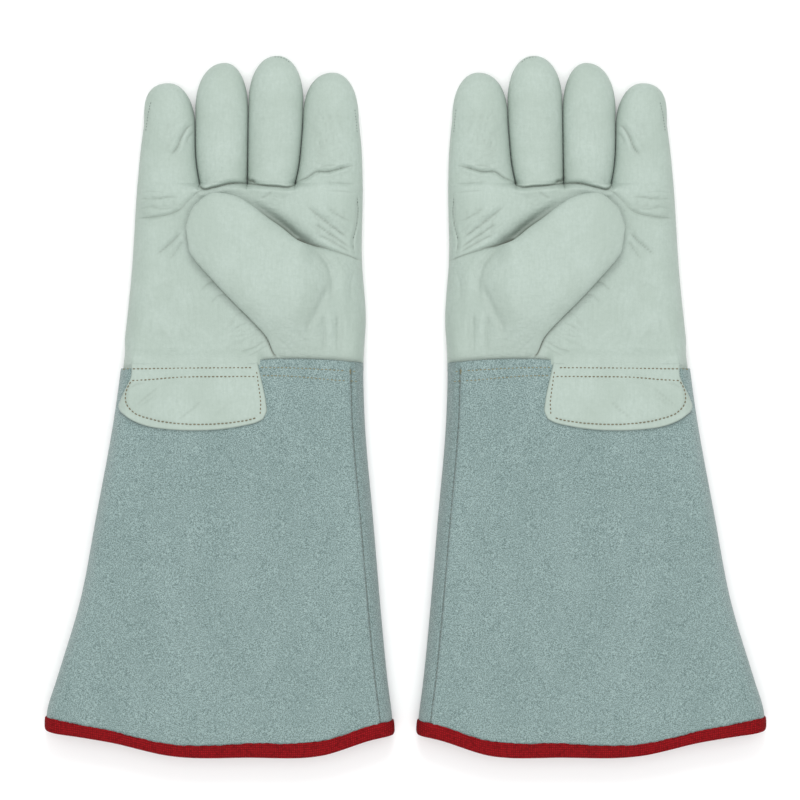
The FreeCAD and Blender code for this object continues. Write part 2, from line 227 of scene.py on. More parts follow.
SEAM_BASE = path([
    (132.1, 144.5), (131.6, 141.8), (129.4, 139.6), (122.6, 140.5), (112.5, 143), (105.7, 143.6),
    (98.5, 143.2), (92.2, 142.1), (82.1, 141.3), (73.6, 141.1), (71.2, 142.4), (70, 146.5),
])
SEAM_NOTCH = path([(101.4, 147), (100.2, 145.4), (97.8, 144.9), (95.2, 143)], 20)
CREASES = curves([
    ([(135.2, 182.2), (139.5, 178.9), (142.9, 173.6), (145.6, 166.8), (151, 159.5)], 1.1, 1.0),
    ([(135.4, 177), (138.4, 173.5), (140.4, 168)], 0.5, 0.9),
    ([(171.5, 133.6), (160, 133.2), (149, 134.4), (143, 134)], 0.6, 0.8),
    ([(171.5, 137.4), (162, 137.8), (152, 137)], 0.25, 0.7),
    ([(173, 120.8), (160, 121.8), (150, 123.6), (143.5, 126.6), (139, 130.4)], 1.0, 0.9),
    ([(144, 126.4), (140, 130.4), (135.5, 134.8), (131, 138.2), (127, 140.2)], 0.55, 0.9),
    ([(171.5, 127), (163, 127.8), (154, 126.6), (147, 127.4)], 0.45, 0.7),
    ([(142.5, 112.5), (147, 107.6), (154.5, 101), (160, 96.5)], 0.9, 1.0),
    ([(141.5, 106.5), (145.5, 101), (150.5, 94)], 0.55, 0.9),
    ([
        (73, 142.6), (69, 144.8), (63.5, 146.8), (57, 150.6), (50, 150.6), (39.8, 153.2),
        (29, 155.6),
    ], 1.4, 0.8),
    ([(56, 152.4), (52, 154.2), (44, 154.6)], 0.35, 0.7),
    ([(55.6, 171.5), (54.6, 168), (53.8, 165.5)], 0.45, 0.7),
    ([(51, 172), (50.2, 169.2), (50, 166)], 0.4, 0.7),
    ([(53, 144), (42, 143.4), (30, 143)], 0.45, 0.8),
    ([(50, 138.4), (41, 138), (31, 137)], 0.35, 0.8),
    ([(64, 129), (55, 122), (44, 113.5), (35, 107)], 0.8, 1.2),
    ([(58.5, 118), (50, 112), (41, 106), (34, 101)], 0.9, 1.1),
    ([(56, 110.5), (47, 106), (39, 101.5), (33.5, 98)], 0.8, 1.0),
    ([(50, 128), (42, 122), (33, 118.5)], 0.4, 1.0),
    ([(32, 95.4), (33.6, 106.8), (31.6, 114.8), (30.4, 125.9), (30.9, 134.2), (30, 140)], 1.1, 0.6),
    ([(31.8, 96), (31.4, 91), (31.2, 85)], 0.9, 0.6),
    ([(93, 133), (88.5, 135), (84.5, 138.5)], 0.5, 1.3),
    ([(106, 35.5), (98, 38), (88, 43.5)], 0.55, 1.0),
    ([(101, 32.5), (94, 36), (86.5, 41)], 0.45, 0.8),
    ([(112, 47), (106, 52), (100, 54.5)], 0.35, 0.9),
    ([(130.5, 74.5), (125, 79.5), (119.5, 81)], 0.5, 1.1),
    ([(124.5, 66), (119, 71.5), (113, 73)], 0.4, 1.0),
])
CROTCH_SEAM = path([(27, 93.8), (31.9, 95.4), (41, 98.6), (51.3, 101.9), (60, 103.8), (68.6, 107)])
POCKET = path([
    (47, 101.5), (60.4, 104.9), (69, 109.2), (76, 115), (84, 121.2), (91, 126.2), (100, 132.6),
])
RIDGES = curves([
    # soft swellings of the padding: points, height, width
    ([(72, 136), (82, 136.5), (92, 135)], 0.9, 4.5),
    ([(120, 143.8), (110, 145.5), (124, 146.5)], 0.3, 3.0),
    ([(60, 132), (52, 124), (44, 118)], 0.7, 4.0),
    ([(147, 131), (158, 130), (168, 130.5)], 0.5, 3.0),
    ([(150, 112), (158, 108)], 0.6, 7.0),
    ([(50, 160), (42, 162)], 0.4, 7.0),
])
THUMB_CREASES = curves([
    ([(82, 44.5), (75, 38.5), (69.5, 31.5)], 0.6, 1.0),
    ([(77.5, 46), (70.5, 39), (66, 32.5)], 0.4, 0.9),
    ([(60.5, 103), (53.5, 96), (48.6, 88), (46.6, 76), (48, 66)], 1.1, 3.0),
    ([(55, 101.5), (49, 94), (45, 86)], 0.5, 1.4),
    ([(38.5, 60), (40, 46), (41, 31)], 0.6, 2.6),
    ([(48.6, 80), (52, 70), (57, 60), (61.5, 51), (62.5, 42)], 1.5, 4.2),
    ([(52.4, 60), (51.6, 46), (52.2, 31)], 1.5, 1.8),
    ([(43.4, 62), (43.2, 47), (43.9, 31)], 1.2, 1.6),
    ([(70.5, 50), (64, 41.5), (60.5, 33)], 0.5, 1.4),
    ([(33, 88), (35, 76), (34, 66)], 0.5, 1.8),
])


def fold(x, y, creases):
    """Depth of all the creases at each point: a sharp line in a soft trough, with a ridge beside it."""
    total = np.zeros(np.shape(x))
    for line, depth, width in creases:
        r, where = distance(x, y, line)
        ends = step(where, 0.0, 0.22) * (1 - step(where, 0.72, 1.0))
        sharp = 0.75 * bell(r, 0.5 * width) + 0.5 * bell(r, 1.9 * width)
        ridge = 0.35 * bell(r - 3.0 * width, 1.5 * width)
        total += ends * depth * (sharp - ridge)
    return total


def wrinkles(x, y, angle, size, seed):
    """Fine leather wrinkles that run at an angle in degrees, from 0 between them to 1 in their lines."""
    c, s = np.cos(np.radians(angle)), np.sin(np.radians(angle))
    along, over = x * c + y * s, y * c - x * s
    wave = noise(along + 200, over + 200, size, seed)
    stretched = noise((along + 200) / 3.2, over + 200 + 0.8 * wave, size, seed + 1)
    return share(1 - np.abs(stretched) * 3.2) ** 1.5


WRINKLED = [
    # centre, half size, angle, line spacing, depth
    ((158.0, 128.0), (17.0, 14.0), 2, 2.1, 0.34),
    ((46.0, 152.0), (22.0, 13.0), 4, 2.1, 0.30),
    ((48.0, 116.0), (22.0, 18.0), 42, 2.4, 0.42),
    ((104.0, 50.0), (22.0, 20.0), -28, 2.3, 0.30),
    ((148.0, 172.0), (14.0, 18.0), -62, 2.4, 0.22),
    ((82.0, 130.0), (14.0, 10.0), 25, 2.2, 0.25),
    ((150.0, 60.0), (30.0, 40.0), 80, 3.0, 0.16),
    ((48.0, 176.0), (18.0, 26.0), 74, 3.2, 0.30),
    ((47.0, 160.0), (20.0, 12.0), 6, 2.2, 0.26),
    ((100.0, 175.0), (36.0, 34.0), 6, 2.6, 0.12),
]


def fine_wrinkles(x, y):
    """Depth of the fine wrinkles of every wrinkled place together."""
    total = np.zeros(np.shape(x))
    for i, ((cx, cy), (rx, ry), angle, size, depth) in enumerate(WRINKLED):
        near = 1 - step(np.hypot((x - cx) / rx, (y - cy) / ry), 0.35, 1.0)
        total += depth * near * wrinkles(x, y, angle, size, 50 + 2 * i)
    return total


# ---- the thumb's outline: rows from the heel at the glove's edge to the tip, each with an x and a y ----

UPPER = [
    (0.00, 27.6, 94.2), (0.12, 38.5, 97.8), (0.24, 51.0, 101.4), (0.34, 60.0, 103.4), (0.42, 68.4, 106.4),
    (0.52, 78.6, 114.4), (0.62, 87.6, 120.7), (0.71, 96.0, 127.3), (0.80, 106.0, 133.6), (0.87, 116.0, 136.2),
    (0.92, 124.3, 136.0), (0.96, 131.3, 131.0), (0.985, 136.6, 124.6), (1.0, 139.7, 115.0),
]
LOWER = [
    (0.00, 26.9, 23.5), (0.12, 40.0, 23.5), (0.24, 57.0, 23.5), (0.34, 72.0, 24.0), (0.42, 82.4, 32.4),
    (0.52, 88.6, 45.0), (0.62, 99.0, 56.5), (0.71, 108.4, 65.9), (0.80, 118.0, 76.0), (0.87, 125.2, 83.9),
    (0.92, 130.3, 89.6), (0.96, 134.7, 95.2), (0.985, 138.0, 102.0), (1.0, 139.7, 115.0),
]

S = np.linspace(0, 1, 60)
THUMB_LOW = smooth(S, LOWER)
THUMB_OUTLINE = np.concatenate([smooth(S, UPPER), THUMB_LOW[::-1]])

# where the free part of the thumb meets the palm below and above it
THUMB_REST = smooth(np.linspace(0.425, 0.96, 60), LOWER)
THUMB_LIP = smooth(np.linspace(0.36, 0.72, 60), UPPER)

# ---- heights ----

# the lines along which neighbouring fingers meet, as (y, x) knots
GAPS = [
    [(143, 71), (152, 69), (175, 66.5), (226, 65)],
    [(143, 101.5), (226, 100.5)],
    [(143, 132), (155, 134), (186, 135), (226, 135)],
]
HALF_GAP = 0.16
FINGERS = {
    # x and y of the tip, where its rounding starts, and how square its low-x and high-x corners are
    "index": dict(tip=(46.9, 215.2), start=184.0, square=(2.3, 2.5)),
    "middle": dict(tip=(82.4, 226.0), start=196.0, square=(2.3, 2.2)),
    "ring": dict(tip=(116.0, 221.4), start=190.5, square=(2.2, 2.3)),
    "little": dict(tip=(152.4, 208.4), start=181.0, square=(1.95, 3.9)),
}
NAMES = list(FINGERS)
MID = 10.3  # height of the middle of the hand and fingers
FINGER_RISE = 11.4  # from there to a finger's crown
FINGER_POWER = 2.35  # how square a finger's section is: 2 is an ellipse
HAND_RISE = 12.6
EDGE_ROUND = 15.0
WEB = 6.5  # how far the dips between the fingers run into the palm
FINGER_COLUMNS = 58  # across the front of a finger
CUFF_MID = 11.8
CUFF_RISE = 12.2
CUFF_ROUND = 10.0
CUFF_SEAM = 7.8  # from the cuff's edge to its side seam
HEM_Y = -212.0  # where the hem crosses the cuff's edges, roughly
QUILT = 26.0  # spacing of the cuff lining's quilting
LINING_INSET = 4.6  # from the cuff's outer surface
PATCH_THICK = 1.5


def finger_edges(name, y):
    """x of a finger's two sides before its tip is rounded."""
    i = NAMES.index(name)
    y = np.minimum(y, FINGERS[name]["start"])
    low = inner_edge(y) if i == 0 else smooth(y, GAPS[i - 1]) + HALF_GAP
    high = outer_edge(y) if i == 3 else smooth(y, GAPS[i]) - HALF_GAP
    return low, high


def undulation(x, y):
    """The soft rise and fall of the hand's leather: settled cloth, then finer unevenness."""
    return uneven(x, y, [(0.2, 19, 3), (0.12, 7.5, 4), (0.05, 2.2, 5)], HAND_SLACK(x, y))


def palm_edges(y):
    """The hand's edges, drawn in a little where they go under the cuff."""
    tuck = 1.3 * (1 - step(y, WRIST + 4, WRIST + 18))
    return inner_edge(y) + tuck, outer_edge(y) - tuck


def cuff_top(x, y, inset=0.0):
    """Height of the cuff's front: rounded edges, a crown and soft waves."""
    rise = crowned(x, inner_edge(y), outer_edge(y), CUFF_ROUND, inset)
    soft = 0.8 * noise(x + 40, y / 1.6, 52, 7) + 0.3 * noise(x, y / 1.4, 25, 8) + 0.16 * noise(x, y, 10, 9)
    soft = soft + CUFF_SLACK(x, y)
    calm = 1 - step(y, WRIST - 70, WRIST - 4)
    crown = 1.2 * bell(y + 60, 70.0)
    return CUFF_MID + (CUFF_RISE - inset + (soft * (0.25 + 0.75 * calm) + crown) * rise) * rise


def nap(x, y):
    """The tufts of the split leather."""
    return 0.12 * noise(x, y, 3.1, 14) + 0.16 * noise(x, y, 1.7, 15) + 0.14 * noise(y, x, 1.2, 16)


def patch_side(x):
    """1 where the hand's leather lies over the cuff, 0 where the cuff lies over it."""
    return step(x, 88.5, 95.5) * (1 - step(x, 173.5, 181.0))


def palm_profile(x, y):
    """How far the palm rises over the middle of the hand."""
    low, high = palm_edges(y)
    edge = CUFF_ROUND + (EDGE_ROUND - CUFF_ROUND) * step(y, WRIST + 3, WRIST + 45)
    rise = crowned(x, low, high, edge)
    dome = 0.7 * np.sin(np.pi * share((x - low) / (high - low)))
    top = HAND_RISE - 1.6 * (1 - step(y, WRIST + 2, WRIST + 26))
    return (top + dome) * rise


def sunk_under_thumb(x, y):
    """The palm is lower where the thumb and its heel lie over it."""
    outline = THUMB_OUTLINE.copy()
    outline[outline[:, 0] < 29, 0] -= 20
    depth, _ = distance(x, y, outline)
    return np.where(inside(x, y, outline), 3.4 * step(depth, 0.8, 6.5), 0)


def hand_relief(x, y):
    """Everything that creases, grooves or waves the front of the hand."""
    relief = undulation(x, y) - fold(x, y, CREASES) - fine_wrinkles(x, y)
    r, where = distance(x, y, SEAM_BASE)
    ends = step(where, 0.0, 0.05) * (1 - step(where, 0.95, 1.0))
    groove = 2.1 * bell(r, 0.62) + 0.8 * bell(r, 1.8)
    relief -= (groove - 0.8 * bell(r - 3.4, 2.0)) * ends
    r, where = distance(x, y, SEAM_NOTCH)
    relief -= 2.6 * bell(r, 0.75) * (1 - step(where, 0.6, 1.0))
    r, _ = distance(x, y, CROTCH_SEAM)
    relief -= 1.0 * bell(r, 0.9)
    r, where = distance(x, y, POCKET)
    depth = np.sin(np.pi * share(where)) ** 1.3
    relief -= depth * (2.6 * bell(r, 2.4) + 2.4 * bell(r, 6.0))
    for line, height, width in RIDGES:
        r, _ = distance(x, y, line)
        relief += height * bell(r, width)
    return relief


# ---- slack: how the leather settles over its padding between seams, from cloth simulations ----


def bspline(t):
    """Weights of the four points round a place t of the way between the middle two."""
    return ((1 - t) ** 3 / 6, (3 * t**3 - 6 * t**2 + 4) / 6, (-3 * t**3 + 3 * t**2 + 3 * t + 1) / 6, t**3 / 6)


def settled(low, high, spacing, held, swell, stiffness, height, seed):
    """Lets a flat sheet of cloth, held along its seams, swell and rise over its padding.

    Returns a function that gives the sheet's rise in millimetres at any point, at most height.
    """
    cols, rows = (int(round((b - a) / spacing)) + 1 for a, b in zip(low, high))
    x, y = np.meshgrid(np.linspace(low[0], high[0], cols), np.linspace(low[1], high[1], rows))
    z = 0.06 * spacing * noise(x, y, 3.0 * spacing, seed)
    mesh = bpy.data.meshes.new("settling")
    points = np.stack([x, y, z], -1).reshape(-1, 3) * MM
    mesh.from_pydata(points.tolist(), [], quads(rows, cols).tolist())
    sheet = bpy.data.objects.new("settling", mesh)
    bpy.context.scene.collection.objects.link(sheet)
    group = sheet.vertex_groups.new(name="held")
    for i, weight in enumerate(share(held(x, y)).ravel()):
        group.add([i], float(weight), "REPLACE")
    cloth = sheet.modifiers.new("cloth", "CLOTH")
    cloth.collision_settings.use_collision = False
    settings = cloth.settings
    settings.vertex_group_mass = group.name
    settings.effector_weights.gravity = 0.0
    settings.quality = 6
    settings.shrink_min = -swell
    settings.tension_stiffness = settings.compression_stiffness = 30
    settings.bending_stiffness = stiffness
    settings.air_damping = 3.0
    settings.use_pressure = True
    settings.uniform_pressure_force = 4.0
    for at in range(1, 21):
        bpy.context.scene.frame_set(at)
    final = sheet.evaluated_get(bpy.context.evaluated_depsgraph_get()).data
    where = np.empty(len(points) * 3)
    final.vertices.foreach_get("co", where)
    risen = where.reshape(rows, cols, 3)[..., 2] / MM
    bpy.data.objects.remove(sheet)
    bpy.data.meshes.remove(mesh)
    bpy.context.scene.frame_set(1)
    risen *= height / max(np.abs(risen).max(), 1e-6)
    padded = np.pad(risen, 2, mode="edge")

    def rise(px, py):
        px, py = np.broadcast_arrays(np.asarray(px, float), np.asarray(py, float))
        u = share((px - low[0]) / (high[0] - low[0])) * (cols - 1)
        v = share((py - low[1]) / (high[1] - low[1])) * (rows - 1)
        i, j = np.floor(u).astype(int), np.floor(v).astype(int)
        across, up = bspline(u - i), bspline(v - j)
        total = np.zeros(px.shape)
        for a in range(4):
            for b in range(4):
                total += across[a] * up[b] * padded[j + b + 1, i + a + 1]
        return total

    return rise


def near_lines(x, y, lines, inner, outer):
    """1 within inner of any of the lines, falling to 0 at outer."""
    weight = np.zeros(np.shape(x))
    for line in lines:
        r, _ = distance(x, y, line)
        weight = np.maximum(weight, 1 - step(r, inner, outer))
    return weight


def hand_held(x, y):
    edge = 1 - step(np.minimum(x - inner_edge(y), outer_edge(y) - x), 2.0, 6.0)
    beside = [1 - step(np.abs(x - smooth(y, gap)), 1.0, 3.5) for gap in GAPS]
    gaps = np.max(beside, axis=0) * (y > SPLIT - WEB)
    seams = near_lines(x, y, [SEAM_BASE, CROTCH_SEAM], 1.0, 3.0)
    creased = 0.5 * near_lines(x, y, [line for line, depth, _ in CREASES if depth > 0.7], 0.8, 2.6)
    wrist = 1 - step(y, WRIST + 2, WRIST + 8)
    return np.max([edge, gaps, seams, creased, wrist], axis=0)


def thumb_held(x, y):
    seams = near_lines(x, y, [THUMB_LOW, smooth(S[S > 0.3], UPPER)], 1.5, 4.5)
    outside = 1.0 - inside(x, y, THUMB_OUTLINE)
    return np.max([seams, outside, 1 - step(y, WRIST + 2, WRIST + 10)], axis=0)


def cuff_held(x, y):
    edge = 1 - step(np.minimum(x - inner_edge(y) - CUFF_SEAM, outer_edge(y) - x), 1.0, 8.0)
    tape = 1 - step(y - hem(x) - smooth(x, TAPE_WIDTH), -2.0, 6.0)
    wrist = step(y, WRIST - 14, WRIST - 8)
    return np.max([edge, tape, wrist], axis=0)


HAND_SLACK = settled((22.0, 22.0), (178.0, 230.0), 3.0, hand_held, 0.012, 60.0, 1.1, 71)
THUMB_SLACK = settled((22.0, 20.0), (144.0, 140.0), 3.0, thumb_held, 0.012, 60.0, 1.0, 72)
CUFF_SLACK = settled((4.0, -216.0), (234.0, 28.0), 6.0, cuff_held, 0.03, 6.0, 2.4, 73)

# ---- meshes: grids that share edges, welded for their normals and then cut into pieces ----


def weld(points):
    """First of each set of points that lie together, and which set each point is in."""
    keys = np.round(points / 0.002).astype(np.int64)
    _, first, inverse = np.unique(keys, axis=0, return_index=True, return_inverse=True)
    return first, inverse.reshape(-1)


def face_normals(v, f):
    return np.cross(v[f[:, 2]] - v[f[:, 0]], v[f[:, 3]] - v[f[:, 1]])


class Skin:
    """Grids of one continuous skin. Normals are worked out over all of them together."""

    def __init__(self):
        self.grids = []

    def add(self, piece, grid, wrap=False, flip=False, shade=None):
        rows, cols = grid.shape[:2]
        faces = quads(rows, cols, wrap)
        faces = faces[:, ::-1] if flip else faces
        shade = np.zeros(rows * cols) if shade is None else np.asarray(shade).reshape(-1)
        self.grids.append((piece, grid.reshape(-1, 3), faces, shade))

    def pieces(self):
        v = np.concatenate([g[1] for g in self.grids])
        start = np.cumsum([0] + [len(g[1]) for g in self.grids])
        f = np.concatenate([g[2] + s for g, s in zip(self.grids, start)])
        _, inverse = weld(v)
        normal = np.zeros((inverse.max() + 1, 3))
        n = face_normals(v, f)
        for k in range(4):
            np.add.at(normal, inverse[f[:, k]], n)
        normal = unit(normal)[inverse]
        out = {}
        for (piece, gv, gf, shade), s in zip(self.grids, start):
            out.setdefault(piece, []).append((gv, gf, normal[s : s + len(gv)], shade))
        merged = {}
        for piece, parts in out.items():
            offset = np.cumsum([0] + [len(p[0]) for p in parts])
            pv = np.concatenate([p[0] for p in parts])
            pf = np.concatenate([p[1] + o for p, o in zip(parts, offset)])
            pn = np.concatenate([p[2] for p in parts])
            ps = np.concatenate([p[3] for p in parts])
            first, inverse = weld(pv)
            merged[piece] = (pv[first], inverse[pf], pn[first], ps[first])
        return merged


def tidy_faces(f):
    """Quads with a repeated corner become triangles, and anything less is dropped."""
    out = []
    for face in f.tolist():
        kept = [p for i, p in enumerate(face) if p != face[i - 1]]
        if len(set(kept)) == len(kept) and len(kept) >= 3:
            out.append(kept)
    return out


def keep(mesh, name, vectors):
    """Keeps a vector for each point of a mesh."""
    attribute = mesh.attributes.new(name, "FLOAT_VECTOR", "POINT")
    attribute.data.foreach_set("vector", vectors.astype(np.float32).ravel())


def build(name, data, material, mirror):
    """A mesh object in metres with its own normals, its resting place and its painted crease shade."""
    v, f, n, shade = data
    rest = v.copy()
    v, n = v * MM, n.copy()
    if mirror:
        v[:, 0] *= -1
        n[:, 0] *= -1
        f = f[:, ::-1]
    mesh = bpy.data.meshes.new(name)
    mesh.from_pydata(v.tolist(), [], tidy_faces(f))
    mesh.update()
    mesh.shade_smooth()
    mesh.normals_split_custom_set_from_vertices(n.tolist())
    keep(mesh, "rest", rest)
    attribute = mesh.attributes.new("shade", "FLOAT", "POINT")
    attribute.data.foreach_set("value", share(shade).astype(np.float32))
    mesh.materials.append(material)
    obj = bpy.data.objects.new(name, mesh)
    bpy.context.scene.collection.objects.link(obj)
    return obj


# ---- materials ----


class Surface:
    """A Principled material and short ways to add nodes to it."""

    def __init__(self, name, **settings):
        self.material = bpy.data.materials.new(name)
        self.material.use_nodes = True
        self.nodes, self.links = self.material.node_tree.nodes, self.material.node_tree.links
        self.shader = self.nodes["Principled BSDF"]
        for key, value in settings.items():
            self.shader.inputs[key.replace("_", " ")].default_value = value

    def node(self, kind, **settings):
        made = self.nodes.new(kind)
        for key, value in settings.items():
            if key.startswith("in_"):
                made.inputs[key[3:].replace("_", " ")].default_value = value
            else:
                setattr(made, key, value)
        return made

    def plug(self, made, values):
        """Sets each of a node's inputs to a value, or links it to a socket."""
        for key, value in values.items():
            if isinstance(value, bpy.types.NodeSocket):
                self.links.new(value, made.inputs[key])
            else:
                made.inputs[key].default_value = value

    def attribute(self, name, output="Vector"):
        return self.node("ShaderNodeAttribute", attribute_name=name).outputs[output]

    def texture(self, source, scale, detail=2.0, rough=0.5, stretch=None):
        """Noise with scale bumps per millimetre."""
        made = self.node("ShaderNodeTexNoise", in_Scale=scale, in_Detail=detail, in_Roughness=rough)
        if stretch:
            mapping = self.node("ShaderNodeMapping", in_Scale=stretch)
            self.links.new(source, mapping.inputs["Vector"])
            source = mapping.outputs["Vector"]
        self.links.new(source, made.inputs["Vector"])
        return made.outputs["Fac"]

    def bands(self, source, direction, scale, **settings):
        """Even stripes across a direction."""
        made = self.node("ShaderNodeTexWave", bands_direction=direction, in_Scale=scale, **settings)
        made.wave_type = "BANDS"
        self.links.new(source, made.inputs["Vector"])
        return made.outputs["Fac"]

    def mix(self, factor, a, b):
        made = self.node("ShaderNodeMix", data_type="RGBA", blend_type="MIX")
        self.plug(made, {0: factor, 6: a, 7: b})
        return made.outputs[2]

    def ramp(self, source, low, high):
        """0 where the source is low or less, 1 where it is high or more."""
        made = self.node("ShaderNodeMapRange", in_From_Min=low, in_From_Max=high)
        self.links.new(source, made.inputs["Value"])
        return made.outputs["Result"]

    def times(self, a, b):
        made = self.node("ShaderNodeMath", operation="MULTIPLY")
        self.plug(made, {0: a, 1: b})
        return made.outputs[0]

    def bump(self, heights):
        """Chained bumps: (height socket, strength, distance in millimetres)."""
        last = None
        for height, strength, dist in heights:
            made = self.node("ShaderNodeBump", in_Strength=strength, in_Distance=dist * MM)
            self.links.new(height, made.inputs["Height"])
            if last:
                self.links.new(last, made.inputs["Normal"])
            last = made.outputs["Normal"]
        self.links.new(last, self.shader.inputs["Normal"])

    def paint(self, colour):
        self.links.new(colour, self.shader.inputs["Base Color"])


def rgb(r, g, b):
    return (r, g, b, 1.0)


def leather_material():
    m = Surface("grain_leather", Roughness=0.5, Specular_IOR_Level=0.33, Sheen_Weight=0.04)
    rest = m.attribute("rest")
    shade = m.attribute("shade", "Fac")
    broad = m.ramp(m.texture(rest, 0.045, 3.0), 0.35, 0.65)
    fine = m.ramp(m.texture(rest, 0.45, 5.0, 0.65), 0.3, 0.7)
    streak = m.ramp(m.texture(rest, 0.8, 3.0, 0.6, (1.0, 0.14, 1.0)), 0.42, 0.68)
    colour = m.mix(broad, rgb(0.362, 0.438, 0.389), rgb(0.402, 0.482, 0.436))
    colour = m.mix(m.times(fine, 0.6), colour, rgb(0.328, 0.403, 0.355))
    colour = m.mix(m.times(streak, 0.35), colour, rgb(0.318, 0.390, 0.342))
    # painted shade: the shade attribute darkens the leather in creases, seams and where the thumb would
    # shadow the palm
    colour = m.mix(shade, colour, rgb(0.105, 0.120, 0.095))
    m.paint(colour)
    cells = m.node("ShaderNodeTexVoronoi", feature="DISTANCE_TO_EDGE", in_Scale=0.85)
    m.links.new(rest, cells.inputs["Vector"])
    pebble = m.ramp(cells.outputs["Distance"], 0.0, 0.25)
    lines = m.texture(rest, 0.22, 4.0, 0.6, (1.0, 2.6, 1.0))
    pores = m.texture(rest, 2.2, 2.0)
    m.bump([(lines, 0.6, 0.6), (pebble, 0.3, 0.13), (pores, 0.25, 0.08)])
    return m.material


def suede_material():
    m = Surface(
        "split_leather", Roughness=0.95, Specular_IOR_Level=0.12, Sheen_Weight=0.25, Sheen_Roughness=0.6
    )
    rest = m.attribute("rest")
    shade = m.attribute("shade", "Fac")
    broad = m.ramp(m.texture(rest, 0.045, 3.0, 0.5, (1.0, 0.32, 1.0)), 0.36, 0.64)
    blotch = m.ramp(m.texture(rest, 1.05, 3.0, 0.6), 0.45, 0.58)
    fibre = m.ramp(m.texture(rest, 1.6, 3.0, 0.7), 0.46, 0.58)
    colour = m.mix(broad, rgb(0.220, 0.306, 0.297), rgb(0.262, 0.354, 0.345))
    colour = m.mix(m.times(blotch, 0.7), colour, rgb(0.350, 0.455, 0.442))
    colour = m.mix(m.times(fibre, 0.95), colour, rgb(0.100, 0.152, 0.147))
    # painted shade: the shade attribute darkens the split leather in the side seam's groove, under the
    # patch's lower edge and on the turned cut edge; it also darkens the strip outside the side seam a little
    colour = m.mix(shade, colour, rgb(0.043, 0.054, 0.052))
    m.paint(colour)
    nap = m.texture(rest, 1.5, 5.0, 0.75)
    tuft = m.texture(rest, 0.45, 4.0, 0.7)
    m.bump([(tuft, 0.6, 0.7), (nap, 0.75, 0.5)])
    return m.material


def tape_material():
    m = Surface("binding", Roughness=0.9, Specular_IOR_Level=0.06, Sheen_Weight=0.0)
    weave = m.attribute("weave")
    rest = m.attribute("rest")
    ribs = m.bands(weave, "X", 0.26, in_Distortion=1.2)
    rows = m.bands(weave, "Y", 0.22, in_Distortion=0.8)
    cloth = m.times(ribs, rows)
    worn = m.ramp(m.texture(rest, 0.8, 3.0, 0.7), 0.45, 0.66)
    colour = m.mix(cloth, rgb(0.155, 0.0050, 0.007), rgb(0.375, 0.0110, 0.015))
    colour = m.mix(m.times(worn, 0.8), colour, rgb(0.085, 0.003, 0.004))
    m.paint(colour)
    m.bump([(m.texture(rest, 0.2, 3.0), 0.4, 0.5), (cloth, 0.5, 0.22)])
    return m.material


def thread_material(name, dark, light):
    m = Surface(name, Roughness=0.7, Specular_IOR_Level=0.25)
    weave = m.attribute("weave")
    twist = m.bands(weave, "DIAGONAL", 1.1)
    m.paint(m.mix(twist, dark, light))
    m.bump([(twist, 0.6, 0.1)])
    return m.material


def lining_material():
    m = Surface("insulation", Roughness=1.0, Specular_IOR_Level=0.1, Sheen_Weight=0.3)
    rest = m.attribute("rest")
    shade = m.attribute("shade", "Fac")
    fluff = m.texture(rest, 1.1, 5.0, 0.75)
    colour = m.mix(m.ramp(fluff, 0.35, 0.65), rgb(0.52, 0.50, 0.44), rgb(0.72, 0.70, 0.64))
    # painted shade: the shade attribute darkens the insulation in the dips of its quilting
    colour = m.mix(shade, colour, rgb(0.33, 0.32, 0.28))
    m.paint(colour)
    m.bump([(fluff, 0.8, 0.6)])
    return m.material


LEATHER = leather_material()
SUEDE = suede_material()
TAPE = tape_material()
THREAD = thread_material("cuff_thread", rgb(0.16, 0.15, 0.085), rgb(0.30, 0.28, 0.17))
PATCH_THREAD = thread_material("patch_thread", rgb(0.12, 0.10, 0.06), rgb(0.24, 0.205, 0.13))
SEAM_THREAD = thread_material("seam_thread", rgb(0.08, 0.10, 0.09), rgb(0.17, 0.20, 0.18))
LINING = lining_material()

# ---- the hand ----


def unit_loop(count):
    """Angles of a closed section, from the low-x side over the front to the high-x side and back under."""
    half = np.linspace(np.pi, 0, count + 1)
    return np.concatenate([half, -half[::-1][1:-1]])


LOOP = unit_loop(FINGER_COLUMNS)
FRONT = slice(0, FINGER_COLUMNS + 1)


def rounded(angle, power):
    """Points of a superellipse: a circle at power 2, squarer above it."""
    c, s = np.cos(angle), np.sin(angle)
    return np.sign(c) * np.abs(c) ** (2 / power), np.sign(s) * np.abs(s) ** (2 / power)


def finger_grid(name, inset=0.0, rows=135, relief=True):
    """A finger as rings from its root to its tip, with the painted shade at each point."""
    f = FINGERS[name]
    t = np.linspace(0, 1, rows)
    base = SPLIT if relief else SPLIT - 3
    tip = f["tip"][1] - inset
    y = base + (tip - base) * (t + (np.sin(t * np.pi / 2) - t) * t**1.5)
    y[0], y[-1] = base, tip
    low, high = finger_edges(name, y)
    cap = share((y - f["start"]) / (tip - f["start"]))
    low_share, high_share = (share(1 - cap**p) ** (1 / 2.1) for p in f["square"])
    low = f["tip"][0] - (f["tip"][0] - low - inset) * low_share
    high = f["tip"][0] + (high - inset - f["tip"][0]) * high_share
    centre, wide = (low + high) / 2, (high - low) / 2
    sag = step(y, f["start"] - 10, tip)
    mid = MID + (0.0 if relief else 0.2) - 0.4 * sag
    droop = 1.0 - 0.05 * step(y, SPLIT, f["start"])
    tall = (FINGER_RISE - inset) * share(1 - cap**2.6) ** 0.5 * droop
    u, w = rounded(LOOP, FINGER_POWER)
    x = centre[:, None] + wide[:, None] * u[None, :]
    yy = np.broadcast_to(y[:, None], x.shape).copy()
    z = mid[:, None] + tall[:, None] * w[None, :]
    shade = np.zeros_like(x)
    if relief:
        front = share(w)[None, :] ** 0.7 * np.ones_like(x)
        fade = 1 - step(cap, 0.55, 1.0)[:, None]
        z += hand_relief(x, yy) * front * fade
        # painted shade in the finger's creases and seams
        shade = crease_shade(x, yy) * front
    z = np.maximum(z, 0.12 + inset)
    return np.stack([x, yy, z], -1), shade


